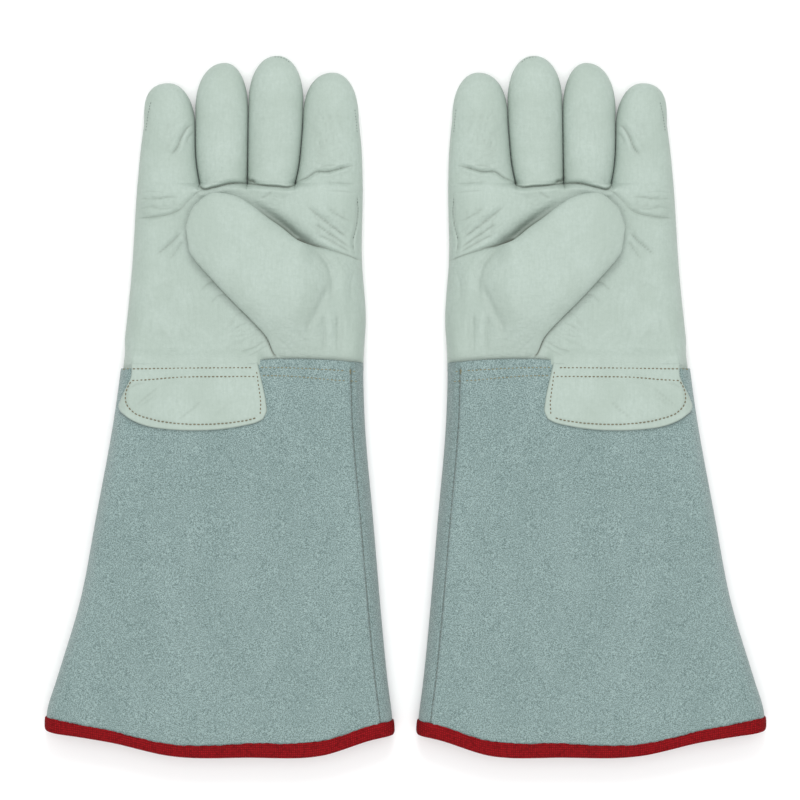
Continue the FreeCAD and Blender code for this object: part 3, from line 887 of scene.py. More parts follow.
def crease_shade(x, y):
    """Painted shade: how far the leather's colour is darkened in seams, creases, the pocket behind the thumb
    and along the thumb's edges, where the thumb would shadow the palm.
    """
    # painted shade in the groove of the seam at the finger roots, and in its notch
    r, where = distance(x, y, SEAM_BASE)
    dark = 0.8 * bell(r, 0.45) * step(where, 0.0, 0.04) * (1 - step(where, 0.96, 1.0))
    r, where = distance(x, y, SEAM_NOTCH)
    dark += 1.0 * bell(r, 0.75) * (1 - step(where, 0.6, 0.9))
    # painted shadow in the pocket under the thumb's upper edge
    r, where = distance(x, y, POCKET)
    dark += 0.34 * bell(r, 2.0) * np.sin(np.pi * where) ** 1.2
    # painted shade in the groove of the seam at the thumb's crotch
    r, where = distance(x, y, CROTCH_SEAM)
    dark += (0.35 + 0.45 * step(where, 0.3, 0.9)) * bell(r, 0.45 + 0.5 * step(where, 0.5, 1.0))
    # painted contact shadow on the palm along the thumb's free lower edge
    r, where = distance(x, y, THUMB_REST)
    dark += 0.65 * bell(r, 0.75) * (1 - 0.55 * step(where, 0.55, 1.0))
    dark += 0.6 * bell(r, 1.0) * step(where, 0.0, 0.02) * (1 - step(where, 0.08, 0.3))
    # painted shadow on the palm along the thumb's upper edge
    r, where = distance(x, y, THUMB_LIP)
    dark += 0.75 * bell(r, 1.1) * np.sin(np.pi * share(where)) ** 0.8
    # painted shade in the creases, and below in the fine wrinkles
    for line, depth, width in CREASES:
        r, where = distance(x, y, line)
        ends = step(where, 0.0, 0.2) * (1 - step(where, 0.75, 1.0))
        dark += 0.42 * depth * bell(r, 0.5 * width) * ends
    return dark + 0.32 * fine_wrinkles(x, y)


def palm_rows():
    near = np.arange(SPLIT, SPLIT - 9, -0.4)
    far = np.arange(near[-1] - 0.6, WRIST + 6, -0.68)
    low = np.linspace(far[-1] - 0.6, ROWS_END, 18)
    return np.concatenate([near, far, low])


def hand_skin():
    """The leather of the hand: four fingers, then the palm and the back that grow out of their ends."""
    skin = Skin()
    y = palm_rows()
    fingers = {name: finger_grid(name) for name in NAMES}
    tops = []
    for name, (grid, shade) in fingers.items():
        tops.append(grid[0, FRONT, 0])
        inward, outward = name != "index", name != "little"
        strip = 3  # columns from a finger's side to its gusset's edge
        a = strip if inward else 0
        b = FINGER_COLUMNS - strip if outward else FINGER_COLUMNS
        n = len(LOOP)
        closed = np.concatenate([grid, grid[:, :1]], 1)
        closed_shade = np.concatenate([shade, shade[:, :1]], 1)
        last = np.argmax(grid[:, 0, 1] > FINGERS[name]["tip"][1] - 12)

        def part(piece, c0, c1, r0=0, r1=None):
            skin.add(piece, closed[r0:r1, c0 : c1 + 1], shade=closed_shade[r0:r1, c0 : c1 + 1])

        part(f"{name}_front", a, b)
        if outward:
            part(f"{name}_gusset", b, FINGER_COLUMNS + strip, 0, last + 1)
            part(f"{name}_back", b, FINGER_COLUMNS + strip, last)
        if inward:
            part(f"{name}_gusset", 0, a, 0, last + 1)
            part(f"{name}_gusset", n - strip, n, 0, last + 1)
            part(f"{name}_back", 0, a, last)
            part(f"{name}_back", n - strip, n, last)
        part(f"{name}_back", FINGER_COLUMNS + (strip if outward else 0), n - (strip if inward else 0))
    top_x = np.concatenate(tops)
    low0, high0 = top_x[0], top_x[-1]
    u = (top_x - low0) / (high0 - low0)
    low, high = palm_edges(y)
    x = low[:, None] + (high - low)[:, None] * u[None, :]
    yy = np.broadcast_to(y[:, None], x.shape).copy()
    _, w = rounded(LOOP[FRONT], FINGER_POWER)
    bumps = FINGER_RISE * np.tile(w, 4)[None, :] * np.ones_like(x)
    t = share((SPLIT - y) / WEB)[:, None]
    k = 1 - (1 - t) ** 2.2
    side = share(palm_profile(x, yy) / HAND_RISE)
    front = share((1 - k) * np.tile(w, 4)[None, :] + k * side) ** 0.7
    z = MID + (1 - k) * bumps + k * palm_profile(x, yy)
    z += hand_relief(x, yy) * front - sunk_under_thumb(x, yy) * side
    over = patch_side(x) * (1 - step(yy, WRIST + 2.5, WRIST + 13))
    z = z * (1 - over) + (cuff_top(x, yy) + PATCH_THICK) * over
    z -= 1.6 * patch_side(x) * (1 - step(yy, WRIST - 1.4, WRIST - 0.5))
    under = (1 - patch_side(x)) * (1 - step(yy, WRIST + 1, WRIST + 5))
    z -= 0.6 * under * side
    # painted shade in the palm's creases and seams, and painted shadow along the thumb's edges
    shade = crease_shade(x, yy) * front
    skin.add("palm", np.stack([x, yy, z], -1)[::-1], shade=shade[::-1])
    lows = [grid[0, FINGER_COLUMNS:, :] for grid, _ in fingers.values()]
    lows = [np.concatenate([g, fingers[n][0][0, :1]], 0)[::-1] for g, n in zip(lows, NAMES)]
    row = np.concatenate(lows)
    drop = MID - row[:, 2]
    back_side = palm_profile(x, yy) / HAND_RISE
    zb = MID - ((1 - k) * drop[None, :] + k * np.clip(back_side, 0, 1.1) * 11.6)
    zb += 0.25 * noise(x, yy, 21, 12) * back_side
    zb = np.maximum(zb, 0.12)
    skin.add("back", np.stack([x, yy, zb], -1)[::-1], flip=True)
    return skin.pieces()


def auto_orient(data, centre=None, up=False):
    """Turns the faces to point away from a centre, or upwards."""
    v, f, n, shade = data
    fn = face_normals(v, f)
    mid = v[f].mean(1)
    score = fn[:, 2].sum() if up else ((mid - centre) * fn).sum()
    return (v, f[:, ::-1], -n, shade) if score < 0 else data


# ---- the thumb: rows run from the heel at the glove's edge to the tip, columns across ----

FREE_UPPER, FREE_LOWER = 0.30, 0.39  # the thumb comes free of the palm from these rows on
THUMB_SPLIT = 0.30  # and the base is sewn to the panels at this row
THUMB_TOP = 38.6  # heights of the free thumb's crown and underside
THUMB_UNDER = 22.3
UNDER_CUFF = 21.9  # height of the heel where it runs under the cuff
HEEL_X = 27.2  # where the thumb's first row lies before it follows the glove's edge


def thumb_grids(inset=0.0, rows=230, cols=120):
    """The thumb's rows, its upper and under surface, and the painted shade of the upper one."""
    s = np.concatenate([np.linspace(0, 0.06, 14)[:-1], np.linspace(0.06, 1, rows - 13)])
    s = np.where(s > 0.85, 0.85 + 0.15 * np.sin((s - 0.85) / 0.15 * np.pi / 2), s)
    s[-1] = 1.0
    s = np.sort(np.append(s, THUMB_SPLIT))
    up, low = smooth(s, UPPER), smooth(s, LOWER)
    low[:, 0] = np.where(s < 1e-9, inner_edge(low[:, 1]), low[:, 0])
    theta = np.linspace(0, np.pi, cols + 1)
    a = -np.cos(theta)
    a = np.sign(a) * np.abs(a) ** 0.8
    mid, half = (up + low) / 2, (up - low) / 2
    width = np.linalg.norm(half, axis=1)
    shrink = np.clip(1 - inset / np.maximum(width, 1e-6), 0.0, 1) if inset else np.ones_like(width)
    xy = mid[:, None, :] + half[:, None, :] * (a[None, :, None] * shrink[:, None, None])
    x, y = xy[..., 0], xy[..., 1]
    # the first rows follow the glove's own edge
    edge = inner_edge(y)
    hug = 1 - step(s, 0.0, 0.10)[:, None]
    x = x + hug * (edge - HEEL_X)
    in_from_edge = np.clip(x - edge, 0, None)
    heel = MID + HAND_RISE * quarter(in_from_edge, 14.0)
    rise = step(s, 0.02, 0.42)[:, None]
    power = np.interp(s, [0, 0.35, 0.6, 0.9, 1.0], [2.0, 2.3, 3.0, 2.5, 2.2])[:, None]
    profile = share(1 - np.abs(a)[None, :] ** power) ** 0.5
    cap = share((s - 0.80) / 0.20)
    top = THUMB_TOP - 1.4 * step(s, 0.6, 1.0)[:, None]
    loose_up, loose_low = step(s, FREE_UPPER, FREE_UPPER + 0.11), step(s, FREE_LOWER, FREE_LOWER + 0.10)
    across = (a[None, :] + 1) / 2
    loose = loose_low[:, None] * (1 - across) + loose_up[:, None] * across
    seat = np.minimum(heel - 0.9, 22.0)
    level = seat * (1 - loose) + 30.6 * loose
    dome = share(1 - cap**2.4)[:, None] ** 0.5
    crest = heel + (top - 23.4) * rise
    zt = level + (crest - level) * profile * dome
    near = profile**0.6 * dome
    if not inset:
        relief = uneven(x, y, [(0.2, 21, 21), (0.12, 8, 22), (0.05, 2.2, 23)], THUMB_SLACK(x, y))
        relief -= fold(x, y, THUMB_CREASES) + 0.10 * wrinkles(x, y, 30, 2.6, 90)
        heel_folds = 1 - step(np.hypot((x - 52.0) / 26.0, (y - 44.0) / 26.0), 0.4, 1.0)
        relief -= 0.3 * heel_folds * wrinkles(x, y, 86, 2.8, 92)
        crotch_folds = 1 - step(np.hypot((x - 46.0) / 18.0, (y - 92.0) / 14.0), 0.4, 1.0)
        relief -= 0.3 * crotch_folds * wrinkles(x, y, 40, 2.4, 94)
        zt += relief * near
    zb = level - (level - THUMB_UNDER) * profile * dome * loose
    zt, zb = zt - inset * near, zb + inset * near
    # near the wrist the heel goes down to lie under the cuff's edge
    free = share((y - WRIST - 1.0) / 56.0)
    free = np.sin(free * np.pi / 2) ** 0.95
    for z in (zt, zb):
        above = z - UNDER_CUFF + 0.6
        z -= (1 - free) * 0.5 * (above + np.sqrt(above**2 + 6.0)) * step(in_from_edge, 0, 5)
    # painted shade in the seam at the thumb's crotch and in the thumb's creases
    seam, _ = distance(x, y, CROTCH_SEAM)
    attached = (1 - loose_up)[:, None] * across
    shade = 0.4 * bell(seam, 0.6) * attached
    shade = shade + 0.06 * share(fold(x, y, THUMB_CREASES))
    return s, np.stack([x, y, zt], -1), np.stack([x, y, zb], -1), shade


def thumb_pieces():
    s, top, under, shade = thumb_grids()
    cut = int(np.argmin(np.abs(s - THUMB_SPLIT)))
    skin = Skin()
    skin.add("thumb_base", top[: cut + 1], shade=shade[: cut + 1])
    skin.add("thumb_outer_panel", top[cut:], shade=shade[cut:])
    skin.add("thumb_inner_panel", under[cut:], flip=True)
    made = skin.pieces()
    lining = Skin()
    s, top, under, _ = thumb_grids(inset=1.8, rows=60, cols=32)
    cut = int(np.argmin(np.abs(s - 0.45)))
    lining.add("thumb_insulation", top[cut:])
    lining.add("thumb_insulation", under[cut:], flip=True)
    made.update(lining.pieces())
    return made


# ---- the cuff ----


def cuff_columns(middle=180):
    """Across the front: distance from the low-x edge, share of the flat, distance from the high-x edge."""
    low = [0, 0.12, 0.5, 1.1, 2.0, 3.2, 4.6, 6.0, 7.0, 7.4, 7.6, CUFF_SEAM, 8.0, 8.2, 8.6, 9.3]
    flat = np.linspace(0, 1, middle)
    high = [9.0, 7.5, 6.0, 4.6, 3.2, 2.0, 1.1, 0.5, 0.12, 0]
    kinds = [("low", v) for v in low] + [("flat", v) for v in flat] + [("high", v) for v in high]
    return kinds


def cuff_x(kinds, y, inset=0.0):
    low, high = inner_edge(y) + inset, outer_edge(y) - inset
    r = CUFF_ROUND
    out = np.empty(y.shape)
    for c, (kind, v) in enumerate(kinds):
        if kind == "low":
            out[:, c] = low[:, c] + v
        elif kind == "high":
            out[:, c] = high[:, c] - v
        else:
            out[:, c] = low[:, c] + r + (high[:, c] - low[:, c] - 2 * r) * v
    return out


def across_hem(kinds):
    """Each column's share of the way across the cuff, and its x at the hem."""
    wide = np.array([{"low": v / 200, "flat": 0.05 + 0.9 * v, "high": 1 - v / 200}[k] for k, v in kinds])
    return wide, inner_edge(HEM_Y) + wide * (outer_edge(HEM_Y) - inner_edge(HEM_Y))


def cuff_sheet(kinds, rows, start, finish, inset=0.0, back=False):
    """The front or back surface. start and finish give y at the wrist and at the hem for each column."""
    wide, hem_x = across_hem(kinds)
    y0 = start(wide) if callable(start) else np.full(len(kinds), start)
    y1 = hem(hem_x) + finish
    v = np.linspace(0, 1, rows)[:, None]
    y = y0[None, :] + (y1 - y0)[None, :] * v
    x = cuff_x(kinds, y, inset)
    if back:
        low, high = inner_edge(y) + inset, outer_edge(y) - inset
        rise = crowned(x, low, high, CUFF_ROUND)
        z = CUFF_MID - (CUFF_MID + 0.6 - inset) * rise
        z = np.maximum(z, 0.15 + inset)
    else:
        low = inner_edge(y)
        z = cuff_top(x, y, inset)
        if not inset:
            e = x - low
            z -= 0.9 * bell(e - CUFF_SEAM, 0.5) * (1 - step(y, WRIST - 6, WRIST + 2))
            z += 0.45 * bell(e - CUFF_SEAM - 2.2, 1.3)
            z += nap(x, y) * step(z, CUFF_MID + 1, CUFF_MID + 7)
    return np.stack([x, y, z], -1)


CUFF_TOP = [
    (25, 28.2), (35, 29.0), (50, 30.1), (72, 30.8), (89, 30.2), (94.5, 29.6), (172, 25.0), (190, 24.4),
]


def wrist_line(wide):
    """y of the cuff's cut edge: it lies over the hand, except under the patch."""
    x = inner_edge(WRIST) + wide * (outer_edge(WRIST) - inner_edge(WRIST))
    line = smooth(x, CUFF_TOP) + 0.22 * noise(x, 3.0, 1.6, 71) + 0.2 * noise(x, 5.0, 5.0, 72)
    return np.where((x > 95.5) & (x < 172.5), WRIST - 0.9, line)


def cuff_pieces():
    kinds = cuff_columns()
    seam = next(i for i, k in enumerate(kinds) if k == ("low", CUFF_SEAM))
    rows = 230
    front = cuff_sheet(kinds, rows, wrist_line, 2.0)
    back = cuff_sheet(kinds, rows, wrist_line, 2.0, back=True)
    skin = Skin()
    e = front[..., 0] - inner_edge(front[..., 1])
    # painted shade in the side seam's groove
    shade = 0.30 * bell(e - CUFF_SEAM, 0.4) * (front[..., 1] < WRIST - 2)
    # the strip between the glove's edge and the side seam is a little darker
    shade += 0.10 * (e < CUFF_SEAM)
    # painted shadow on the cuff just below the patch's lower edge
    r, where = distance(front[..., 0], front[..., 1], PATCH_BOTTOM)
    shade += (0.22 + 0.25 * step(where, 0.6, 1.0)) * bell(r, 1.3)

    def turned(grid):
        """The cut edge at the wrist: over its thickness, then back under."""
        under = grid[0].copy()
        under[:, 2] += np.where(grid[0, :, 2] > CUFF_MID, -1.2, 0.8)
        inner = under.copy()
        inner[:, 1] -= 5
        soft = grid[0].copy()
        soft[:, 1] += 0.25
        soft[:, 2] += np.where(grid[0, :, 2] > CUFF_MID, -0.45, 0.3)
        return np.concatenate([inner[None], under[None], soft[None], grid])

    front_t, back_t = turned(front), turned(back)
    shade = np.concatenate([np.zeros((3, shade.shape[1])), shade])
    # painted shade on the turned-over rows of the cut edge at the wrist
    shade[1:3] = 0.15
    skin.add("cuff_front_panel", front_t[:, seam:][:, ::-1], shade=shade[:, seam:][:, ::-1])
    skin.add("cuff_back_panel", front_t[:, : seam + 1][:, ::-1], shade=shade[:, : seam + 1][:, ::-1])
    skin.add("cuff_back_panel", back_t)
    made = skin.pieces()
    inset = LINING_INSET
    lining = Skin()
    plain = [k for k in cuff_columns(70) if not (k[0] == "low" and 7.0 < k[1] < 9)]
    lf = cuff_sheet(plain, 110, WRIST - 1, 1.5, inset)
    lb = cuff_sheet(plain, 110, WRIST - 1, 1.5, inset, back=True)
    for grid, sign in ((lf, -1), (lb, 1)):
        x, y = grid[..., 0], grid[..., 1]
        quilt = np.abs(np.sin((x + y) * np.pi / QUILT)) * np.abs(np.sin((x - y) * np.pi / QUILT))
        flat = crowned(x, inner_edge(y), outer_edge(y), 8, inset)
        grid[..., 2] += sign * 0.9 * quilt**0.5 * flat
        # painted shade in the dips of the quilting
        shade = 0.6 * (1 - quilt**0.35) * flat
        lining.add("cuff_insulation", grid if sign < 0 else grid[:, ::-1], shade=shade)
    made.update(lining.pieces())
    return made


# the tape's section, as shares of its width and insets from the cuff's outer surface
TAPE_OUTSIDE = [
    (1.0, 0.35), (1.0, -0.55), (0.93, -0.95), (0.7, -1.05), (0.45, -1.05), (0.22, -1.0), (0.1, -0.8),
]
TAPE_INSIDE = [(0.15, 5.5), (0.45, 5.7), (0.8, 5.7), (0.95, 5.6), (1.0, 4.8)]


def binding_piece():
    """Woven tape folded over the hem: outside, round the end, and up the inside."""
    kinds = [k for k in cuff_columns(220) if not (k[0] == "low" and 7.3 < k[1] < 8.5)]
    _, hem_x = across_hem(kinds)
    line = hem(hem_x)
    ragged = 0.28 * noise(hem_x, 0.0, 1.9, 31)
    band = smooth(hem_x, TAPE_WIDTH) - 1.0 + ragged + 0.3 * noise(hem_x, 9.0, 11, 32)
    turn = np.linspace(0.25, np.pi - 0.25, 7)
    # y above the hem line, and inset from the cuff's outer surface
    profile = [(part * band, inset) for part, inset in TAPE_OUTSIDE]
    profile += [(0.4 - 1.5 * np.sin(angle), 2.1 - 2.6 * np.cos(angle)) for angle in turn]
    profile += [(part * band, inset) for part, inset in TAPE_INSIDE]
    grids = {False: [], True: []}
    for back in (False, True):
        for above, inset in profile:
            y = (line + above)[None, :]
            x = cuff_x(kinds, y, inset)
            low, high = inner_edge(y) + inset, outer_edge(y) - inset
            rise = crowned(x, low, high, CUFF_ROUND)
            if back:
                floor_gap = 0.1 if inset < 0.5 else 0.15 + inset
                z = np.maximum(CUFF_MID - (CUFF_MID + 0.6 - inset) * rise, floor_gap)
            else:
                z = cuff_top(x, y, inset)
            grids[back].append(np.stack([x, y, z], -1)[0])
    front, back = np.array(grids[False]), np.array(grids[True])
    skin = Skin()
    skin.add("hem_binding", front[:, ::-1])
    skin.add("hem_binding", back)
    made = skin.pieces()["hem_binding"]
    v = made[0]
    along = v[:, 0]
    weave = np.stack([along, v[:, 1] - hem(along) + v[:, 2] * 0.4, np.zeros(len(v))], 1)
    return made, weave


# ---- the pulse patch ----

PATCH_TOP = [(94.2, WRIST + 0.3), (174.9, WRIST + 0.3)]
PATCH_LOW_X = path([(94.2, WRIST + 0.3), (91.4, 16.3), (88.9, 3.7), (88.4, -2.5), (90.6, -7.4)], 40)
PATCH_HIGH_X = path([
    (174.9, WRIST + 0.3), (175, 19.9), (177.8, 13.6), (182, 5), (183.4, 0.6), (181.6, -3),
], 40)
PATCH_BOTTOM = path([
    (90.6, -7.4), (95, -9.6), (103, -11.6), (117.4, -13.9), (135.4, -14.7), (151.5, -14),
    (165.9, -11.6), (174.9, -7.9), (181.6, -3),
], 80)


def along(line, t):
    """Points at shares t of the way along a line."""
    at = np.linspace(0, 1, len(line))
    return np.stack([np.interp(t, at, line[:, k]) for k in range(2)], -1)


def patch_piece():
    """The half-moon patch: a sheet stretched between its four edges, laid over the cuff."""
    def spread(n):
        t = np.linspace(0, 1, n)
        return t - 0.155 * np.sin(2 * np.pi * t)

    near_hem = 1 - np.linspace(0.25, 0, 22)[1:] ** 1.4 * (0.25 ** -0.4)
    a = spread(96)[None, :, None]
    b = np.concatenate([np.linspace(0, 0.75, 34), near_hem])[:, None, None]
    top = np.array(PATCH_TOP, float)
    top_at = top[0] * (1 - a) + top[1] * a
    low_at = along(PATCH_LOW_X, b[:, 0, 0])[:, None, :]
    high_at = along(PATCH_HIGH_X, b[:, 0, 0])[:, None, :]
    bottom_at = along(PATCH_BOTTOM, a[0, :, 0])[None, :, :]

    def between(p, q):
        return p[None, None, :] * (1 - a) + q[None, None, :] * a

    xy = (1 - a) * low_at + a * high_at + (1 - b) * top_at + b * bottom_at
    xy -= (1 - b) * between(top[0], top[1]) + b * between(PATCH_BOTTOM[0], PATCH_BOTTOM[-1])
    x, y = xy[..., 0], xy[..., 1]
    outline = np.concatenate([PATCH_LOW_X, PATCH_BOTTOM[1:-1], PATCH_HIGH_X[::-1]])
    r, _ = distance(x, y, outline)
    body = quarter(r, 1.1)
    pull = fold(x, y, PATCH_CREASES) + 0.12 * wrinkles(x, y, 35, 2.6, 96)
    stitch, _ = distance(x, y, PATCH_STITCH)
    pinch = 0.35 * bell(stitch, 1.3) * (y < WRIST - 4)
    thick = PATCH_THICK - 0.15 - pull * step(r, 1, 4) - pinch + 0.15 * noise(x, y, 9, 41)
    z = cuff_top(x, y) + 0.15 + thick * body
    z[0] = cuff_top(x[0], y[0]) + PATCH_THICK
    z += 0.03
    skin = Skin()
    skin.add("pulse_patch", np.stack([x, y, z], -1)[::-1])
    data = skin.pieces()["pulse_patch"]
    v, f, n, _ = auto_orient(data, up=True)
    # painted shade along the patch's edge and in its creases
    r, _ = distance(v[:, 0], v[:, 1], outline)
    shade = 0.12 * bell(r, 0.8)
    for line, depth, width in PATCH_CREASES:
        r, where = distance(v[:, 0], v[:, 1], line)
        shade += 0.45 * depth * bell(r, 0.7 * width) * np.sin(np.pi * where) ** 0.6
    return v, f, n, shade


PATCH_STITCH = path([
    (175, 16.8), (178.2, 9.5), (177.9, 2.6), (173.3, -3), (162.3, -7.3), (146, -10.1),
    (129.5, -10.7), (113, -9.8), (101, -8.1), (93.4, -6.1),
], 120)
PATCH_CREASES = curves([
    ([(172.5, 0.4), (166, 6.2), (157.5, 13)], 0.4, 0.7),
    ([(169, 1), (163.5, 4.5), (158, 9.5)], 0.3, 0.7),
    ([(144.5, -7.6), (137.5, -2.4), (130, 4.6)], 0.5, 0.7),
    ([(122, -6), (115, 0.5), (110, 4)], 0.15, 1.0),
    ([(176, 12), (172, 14.5), (166, 15.8)], 0.35, 0.8),
])

# ---- stitches ----


def stitch_row(line, height, pitch=2.55, length=1.75, radius=0.36, sink=0.25, wobble=0.06, seed=0):
    """Short stitches along a line: little arched capsules whose ends dip into the leather."""
    rng = np.random.default_rng(seed)
    run = run_length(line)
    made = []
    for i in range(int(run[-1] / pitch)):
        at = (i + 0.5) * pitch - length / 2 + np.linspace(0, 1, 7) * length
        p = np.stack([np.interp(at, run, line[:, k]) for k in range(2)], 1)
        p += rng.uniform(-wobble, wobble, 2)
        arch = np.sin(np.linspace(0, np.pi, 7))
        z = height(p[:, 0], p[:, 1]) - sink + arch * (sink + 0.32 * radius)
        thick = radius * np.array([0.45, 0.8, 1, 1, 1, 0.8, 0.45])
        t = unit(np.gradient(p, axis=0))
        side = np.stack([-t[:, 1], t[:, 0]], 1)
        angle = np.linspace(0, 2 * np.pi, 9)[:-1]
        ring = np.zeros((7, 8, 3))
        ring[..., :2] = p[:, None, :] + side[:, None, :] * (thick[:, None] * np.cos(angle))[..., None]
        ring[..., 2] = z[:, None] + thick[:, None] * np.sin(angle)
        made.append(ring)
    return made


def fibres_data(line, height, count, length, spread, seed):
    """Loose fibres of the split leather: thin tapering blades that stand out from a cut edge."""
    rng = np.random.default_rng(seed)
    at = rng.uniform(0, 1, count)
    root = np.stack([np.interp(at, np.linspace(0, 1, len(line)), line[:, k]) for k in range(2)], 1)
    root[:, 1] -= rng.uniform(0.0, 0.5, count) * np.sign(spread[1])
    aim = np.stack([rng.normal(spread[0], 0.55, count), spread[1] + rng.normal(0, 0.25, count)], 1)
    aim *= (length * rng.uniform(0.35, 1.0, count) / np.linalg.norm(aim, axis=1))[:, None]
    lift = rng.uniform(0.0, 0.35, count)
    vertices, faces = [], []
    side = unit(np.stack([-aim[:, 1], aim[:, 0]], 1))
    for out, thick in ((-0.3, 0.13), (0.35, 0.12), (0.75, 0.08), (1.0, 0.02)):
        centre = root + aim * out
        z = height(root[:, 0], root[:, 1]) + lift * out - (0.25 if out < 0 else 0.0)
        for k in range(3):
            angle = 2 * np.pi * k / 3 + np.pi / 2
            offset = side * (thick * np.cos(angle))
            vertices.append(np.stack([*(centre + offset).T, z + thick * np.sin(angle)], 1))
    v = np.stack(vertices, 1).reshape(-1, 3)
    for i in range(count):
        b = 12 * i
        for ring in range(3):
            for k in range(3):
                a, c = b + 3 * ring + k, b + 3 * ring + (k + 1) % 3
                faces.append([a, c, c + 3, a + 3])
        faces.append([b + 2, b + 1, b, b])
        faces.append([b + 9, b + 10, b + 11, b + 11])
    centre = v.reshape(-1, 4, 3, 3).mean(2, keepdims=True)
    n = unit((v.reshape(-1, 4, 3, 3) - centre).reshape(-1, 3))
    return v, np.array(faces), n, np.zeros(len(v))


def fibre_pieces():
    x = np.linspace(28.5, 93.5, 80)
    wrist = np.stack([x, smooth(x, CUFF_TOP)], 1)
    on_wrist = fibres_data(wrist, lambda a, b: cuff_top(a, b) - 0.1, 420, 1.25, (0.1, 1.0), 61)
    x = np.linspace(12.0, 226.0, 200)
    band = np.stack([x, hem(x) + smooth(x, TAPE_WIDTH) - 1.0], 1)
    on_hem = fibres_data(band, lambda a, b: cuff_top(a, b) + 0.35, 620, 1.1, (0.0, -1.0), 62)
    return on_wrist, on_hem


EDGE_STITCHES = {
    # body: rows of small stitches just inside the outline
    "little": [path([(166.3, 177), (165.3, 184), (164, 191), (162.4, 197.5)], 30)],
    "middle": [path([(84.5, 224.9), (80.5, 224.6), (76.5, 223), (73.5, 220.6)], 30)],
    "index": [path([(31, 176), (31.6, 184), (32.6, 192)], 30)],
    "hand": [
        path([(30.9, 134.2), (30.4, 125.9), (31.6, 114.8), (33.4, 107.6)], 40),
        path([(31.9, 94.6), (31.4, 91), (31.2, 83)], 20),
    ],
}


def hand_top(x, y):
    """The front of the palm away from the fingers, the thumb and the cuff."""
    profile = palm_profile(x, y)
    return MID + profile + hand_relief(x, y) * share(profile / HAND_RISE) ** 0.7


def finger_top(name):
    grid, _ = finger_grid(name)
    front = grid[:, FRONT].reshape(-1, 3)

    def height(x, y):
        near = [np.argsort((front[:, 0] - a) ** 2 + (front[:, 1] - b) ** 2)[:3] for a, b in zip(x, y)]
        return np.array([front[i, 2].mean() for i in near])

    return height


def edge_stitches():
    made = {}
    for body, lines in EDGE_STITCHES.items():
        height = hand_top if body == "hand" else finger_top(body)
        rings = []
        for i, line in enumerate(lines):
            rings += stitch_row(line, height, pitch=1.9, length=1.15, radius=0.22, sink=0.12, seed=20 + i)
        made[body] = stitches_data(rings)
    return made


def stitches_data(rings):
    """One mesh of all the stitches, with coordinates for the thread's twist."""
    ring_count, sides = rings[0].shape[:2]
    size = ring_count * sides
    v = np.concatenate([r.reshape(-1, 3) for r in rings])
    one = quads(ring_count, sides, True)
    f = np.concatenate([one + i * size for i in range(len(rings))])
    caps = []
    for b in range(0, len(v), size):
        caps += [[b, b + 1, b + 2, b + 3], [b, b + 3, b + 4, b + 7], [b + 4, b + 5, b + 6, b + 7]]
        b += size - sides
        caps += [[b + 3, b + 2, b + 1, b], [b + 7, b + 4, b + 3, b], [b + 7, b + 6, b + 5, b + 4]]
    centre = np.concatenate([np.repeat(r.mean(1), sides, axis=0) for r in rings])
    n = unit(v - centre)
    if ((v[f].mean(1) - centre[f[:, 0]]) * face_normals(v, f)).sum() < 0:
        f = f[:, ::-1]
    lengthwise = np.tile(np.repeat(np.linspace(0, 1.75, ring_count), sides), len(rings))
    around = np.tile(np.tile(np.arange(sides) * 0.28, ring_count), len(rings))
    weave = np.stack([lengthwise, around, np.zeros(len(v))], 1)
    return (v, np.concatenate([f, np.array(caps)]), n, np.zeros(len(v))), weave


def patch_top(x, y):
    return cuff_top(x, y) + PATCH_THICK


def stitch_pieces():
    row1 = path([(174.2, 24.6), (150, 25), (120, 25.3), (95.6, 25.4)])
    row2 = path([(174.6, 17.2), (163, 17.8), (146, 19.2), (120, 19.7), (94.8, 19.8)])
    up = path([(92.5, -4.6), (92.2, 3), (93.4, 13), (94.9, 23.6)])
    on_patch = stitch_row(row1, patch_top, seed=1) + stitch_row(row2, patch_top, seed=2)
    on_patch += stitch_row(PATCH_STITCH, lambda x, y: patch_top(x, y) - 0.1, seed=3)
    on_patch += stitch_row(up, lambda x, y: patch_top(x, y) - 0.1, seed=4)
    row3 = path([(92.6, 25.6), (70, 25.2), (50, 24.2), (38, 23.4), (29.5, 22.8)])
    row4 = path([(91.5, 20.4), (74, 20), (60, 18.9), (46, 17.6), (29.5, 16.6)])
    on_cuff = stitch_row(row3, cuff_top, seed=5, radius=0.32)
    on_cuff += stitch_row(row4, cuff_top, seed=6, radius=0.32)
    corner = path([(181, 24.4), (178, 24.6), (175.6, 24.8)], 20)
    on_cuff += stitch_row(corner, cuff_top, seed=9, radius=0.32)
    ys = np.linspace(WRIST - 5, -208, 160)
    side = np.stack([inner_edge(ys) + CUFF_SEAM, ys], 1)
    on_seam = stitch_row(side, lambda x, y: cuff_top(x, y) - 0.75, pitch=2.9, length=1.9, radius=0.24, seed=7)
    tack = path([(35.3, 24.6), (35.2, 22.5), (35.1, 20.4)], 20)
    on_cuff += stitch_row(tack, cuff_top, pitch=1.7, length=1.5, radius=0.34, seed=8)
    return stitches_data(on_patch), stitches_data(on_cuff), stitches_data(on_seam)


